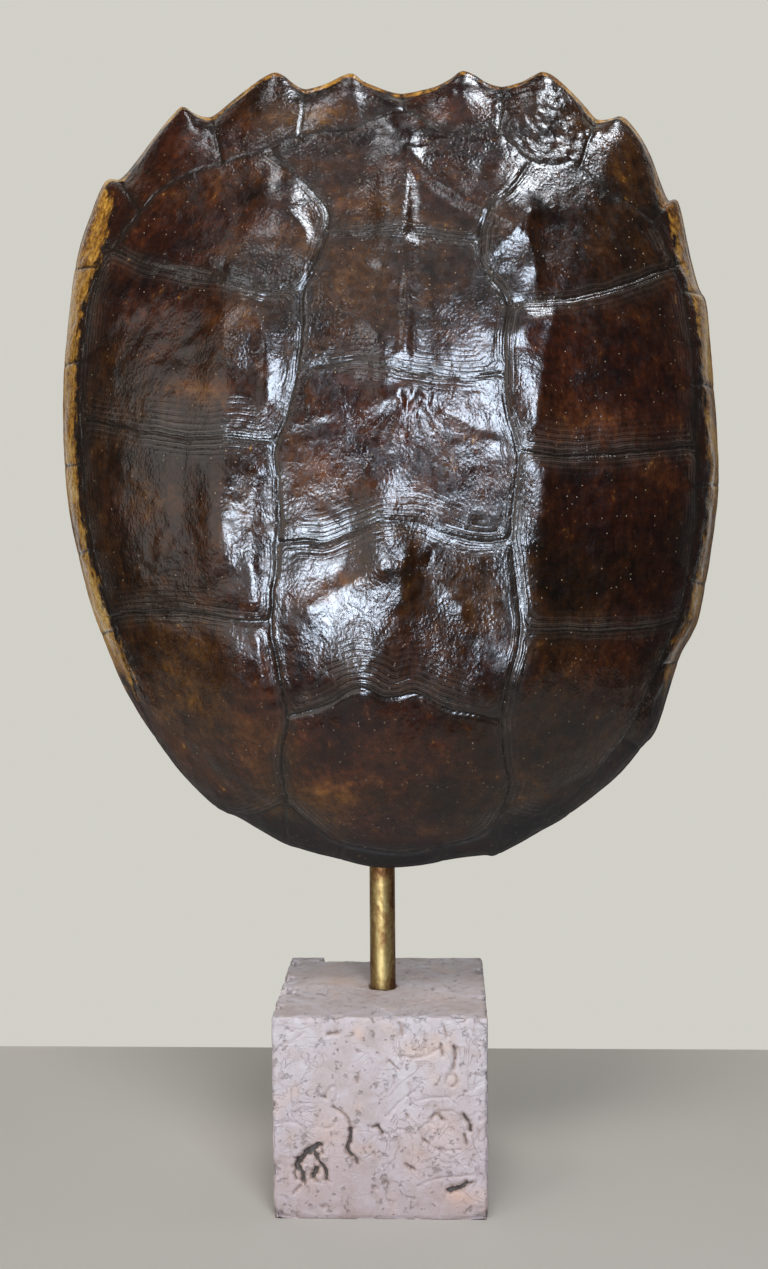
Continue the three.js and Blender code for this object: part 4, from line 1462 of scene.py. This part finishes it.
# Lights: place, target, size, brightness, colour, and what they act on: matt light, gloss or both.
LIGHTS = {
    "rear_panel": ((0, 0.19, 0.36), (0, 0, 0.36), (0.6, 0.72), 0.58, (1.0, 0.99, 0.92), "both"),
    "low_window": ((-0.32, -1.25, 0.18), (-0.02, 0, 0.32), (0.50, 0.46), 12.0, (0.86, 0.91, 1.0), "both"),
    "high_window": ((0.36, -1.12, 0.92), (0.03, 0, 0.38), (0.46, 0.62), 12.0, (0.86, 0.91, 1.0), "both"),
    "low_glint": ((-0.25, -1.24, 0.08), (-0.02, 0, 0.32), (0.42, 0.36), 34.0, (0.68, 0.82, 1.0), "gloss"),
    "high_glint": ((0.34, -1.10, 0.94), (0.03, 0, 0.38), (0.40, 0.50), 27.0, (0.64, 0.79, 1.0), "gloss"),
    "left_window": ((-0.57, -0.77, 1.3), (-0.05, 0, 0.4), (0.2, 0.36), 10.0, (0.90, 0.94, 1.0), "both"),
    "left_panel": ((-1.5, -1.1, 0.55), (0, 0, 0.35), (1.5, 1.6), 1.5, (1.0, 0.96, 0.92), "both"),
    "ceiling_panel": ((0, -0.55, 1.7), (0, 0, 0.4), (1.6, 1.0), 0.45, (0.95, 0.97, 1.0), "both"),
    "top_light": ((0, -0.75, 1.5), (0, 0, 0.1), (0.5, 0.3), 21.0, (1.0, 0.97, 0.94), "matt"),
    "right_ceiling_light": (
        (0.52, 0.05, 1.75), (0.1, 0.1, 0.45), (0.44, 0.26), 34.0, (0.86, 0.92, 1.0), "gloss"),
    "left_ceiling_light": (
        (-0.3, 0.1, 1.8), (0, 0.1, 0.45), (0.3, 0.12), 14.0, (0.92, 0.95, 1.0), "gloss"),
}


def build_stage(settings):
    build_floor(settings)
    for name, (place, target, size, brightness, colour, acts_on) in LIGHTS.items():
        add_light(name, place, target, size, settings.brightness * brightness, colour, acts_on)
    build_room(settings)
    bpy.context.scene.view_settings.view_transform = "Standard"
    build_camera()


# ---- settings, operators and panel ----

class ShellSettings(bpy.types.PropertyGroup):
    """Sizes and colours of the shell and its stand."""

    ring_spacing: FloatProperty(
        name="Ring spacing", description="Distance between growth rings", default=0.0026,
        min=0.001, max=0.01, subtype="DISTANCE", unit="LENGTH")
    seam_depth: FloatProperty(
        name="Seam depth", description="Depth of the deepest seams between scutes", default=0.0008,
        min=0, max=0.003, subtype="DISTANCE", unit="LENGTH")
    ring_depth: FloatProperty(
        name="Ring depth", description="Depth of the growth rings", default=0.0005, min=0,
        max=0.002, subtype="DISTANCE", unit="LENGTH")
    horn_colour: FloatVectorProperty(
        name="Horn colour", description="Colour of the horn in its middle tone",
        default=(0.035, 0.0115, 0.0033), size=3, min=0, max=1, subtype="COLOR")
    amber_colour: FloatVectorProperty(
        name="Amber colour", description="Colour of the thin horn along the edge",
        default=(0.40, 0.20, 0.028), size=3, min=0, max=1, subtype="COLOR")
    bone_colour: FloatVectorProperty(
        name="Bone colour", description="Colour of the bone inside", default=(0.60, 0.49, 0.33),
        size=3, min=0, max=1, subtype="COLOR")
    stone_colour: FloatVectorProperty(
        name="Stone colour", description="Colour of the block in its middle tone",
        default=(0.43, 0.385, 0.388), size=3, min=0, max=1, subtype="COLOR")
    brass_colour: FloatVectorProperty(
        name="Brass colour", description="Colour of the rod in its middle tone",
        default=(0.24, 0.160, 0.060), size=3, min=0, max=1, subtype="COLOR")
    putty_colour: FloatVectorProperty(
        name="Putty colour", description="Colour of the fixing putty",
        default=(0.27, 0.25, 0.215), size=3, min=0, max=1, subtype="COLOR")
    gloss_roughness: FloatProperty(
        name="Varnish roughness", description="Roughness of the smoothest varnished horn",
        default=0.17, min=0.02, max=1.0, subtype="FACTOR")


class StageSettings(bpy.types.PropertyGroup):
    """Floor, backdrop and lights."""

    backdrop_colour: FloatVectorProperty(
        name="Backdrop colour", description="Plain tone behind the object",
        default=(0.64, 0.63, 0.576), size=3, min=0, max=1, subtype="COLOR")
    floor_colour: FloatVectorProperty(
        name="Floor colour", description="Colour of the floor", default=(0.42, 0.395, 0.355),
        size=3, min=0, max=1, subtype="COLOR")
    brightness: FloatProperty(
        name="Brightness", description="Brightness of all lights together", default=1.0, min=0,
        max=20)
    room_light: FloatProperty(
        name="Room light", description="Strength of the even light from all round",
        default=0.05, min=0, max=10)


class TURTLE_OT_carapace(bpy.types.Operator):
    """Build the shell: horn outside, bone inside"""

    bl_idname = "turtle.carapace"
    bl_label = "Build Carapace"

    def execute(self, context):
        build_carapace(context.scene.turtle_shell)
        return {"FINISHED"}


class TURTLE_OT_rod(bpy.types.Operator):
    """Build the brass rod"""

    bl_idname = "turtle.rod"
    bl_label = "Build Rod"

    def execute(self, context):
        build_rod(context.scene.turtle_shell)
        return {"FINISHED"}


class TURTLE_OT_block(bpy.types.Operator):
    """Build the travertine block"""

    bl_idname = "turtle.block"
    bl_label = "Build Block"

    def execute(self, context):
        build_block(context.scene.turtle_shell)
        return {"FINISHED"}


class TURTLE_OT_putty(bpy.types.Operator):
    """Build the putty that holds the rod's upper end"""

    bl_idname = "turtle.putty"
    bl_label = "Build Putty"

    def execute(self, context):
        build_putty(context.scene.turtle_shell)
        return {"FINISHED"}


class TURTLE_OT_stage(bpy.types.Operator):
    """Build the floor, the backdrop, the lights and the camera"""

    bl_idname = "turtle.stage"
    bl_label = "Build Stage"

    def execute(self, context):
        build_stage(context.scene.turtle_stage)
        return {"FINISHED"}


class TURTLE_PT_panel(bpy.types.Panel):
    """Lists the shell's settings and operators"""

    bl_idname = "TURTLE_PT_panel"
    bl_label = "Turtle Shell"
    bl_space_type = "VIEW_3D"
    bl_region_type = "UI"
    bl_category = "Turtle Shell"

    def draw(self, context):
        for settings in (context.scene.turtle_shell, context.scene.turtle_stage):
            box = self.layout.box()
            for name in settings.__annotations__:
                box.prop(settings, name)
        for operator in OPERATORS:
            self.layout.operator(operator.bl_idname)


OPERATORS = (TURTLE_OT_carapace, TURTLE_OT_rod, TURTLE_OT_block, TURTLE_OT_putty, TURTLE_OT_stage)
CLASSES = (ShellSettings, StageSettings, *OPERATORS, TURTLE_PT_panel)


def register():
    for each in CLASSES:
        bpy.utils.register_class(each)
    bpy.types.Scene.turtle_shell = PointerProperty(type=ShellSettings)
    bpy.types.Scene.turtle_stage = PointerProperty(type=StageSettings)


def unregister():
    del bpy.types.Scene.turtle_stage
    del bpy.types.Scene.turtle_shell
    for each in reversed(CLASSES):
        bpy.utils.unregister_class(each)


def main():
    register()
    bpy.ops.turtle.carapace()
    bpy.ops.turtle.rod()
    bpy.ops.turtle.block()
    bpy.ops.turtle.putty()
    bpy.ops.turtle.stage()


if __name__ == "__main__":
    main()
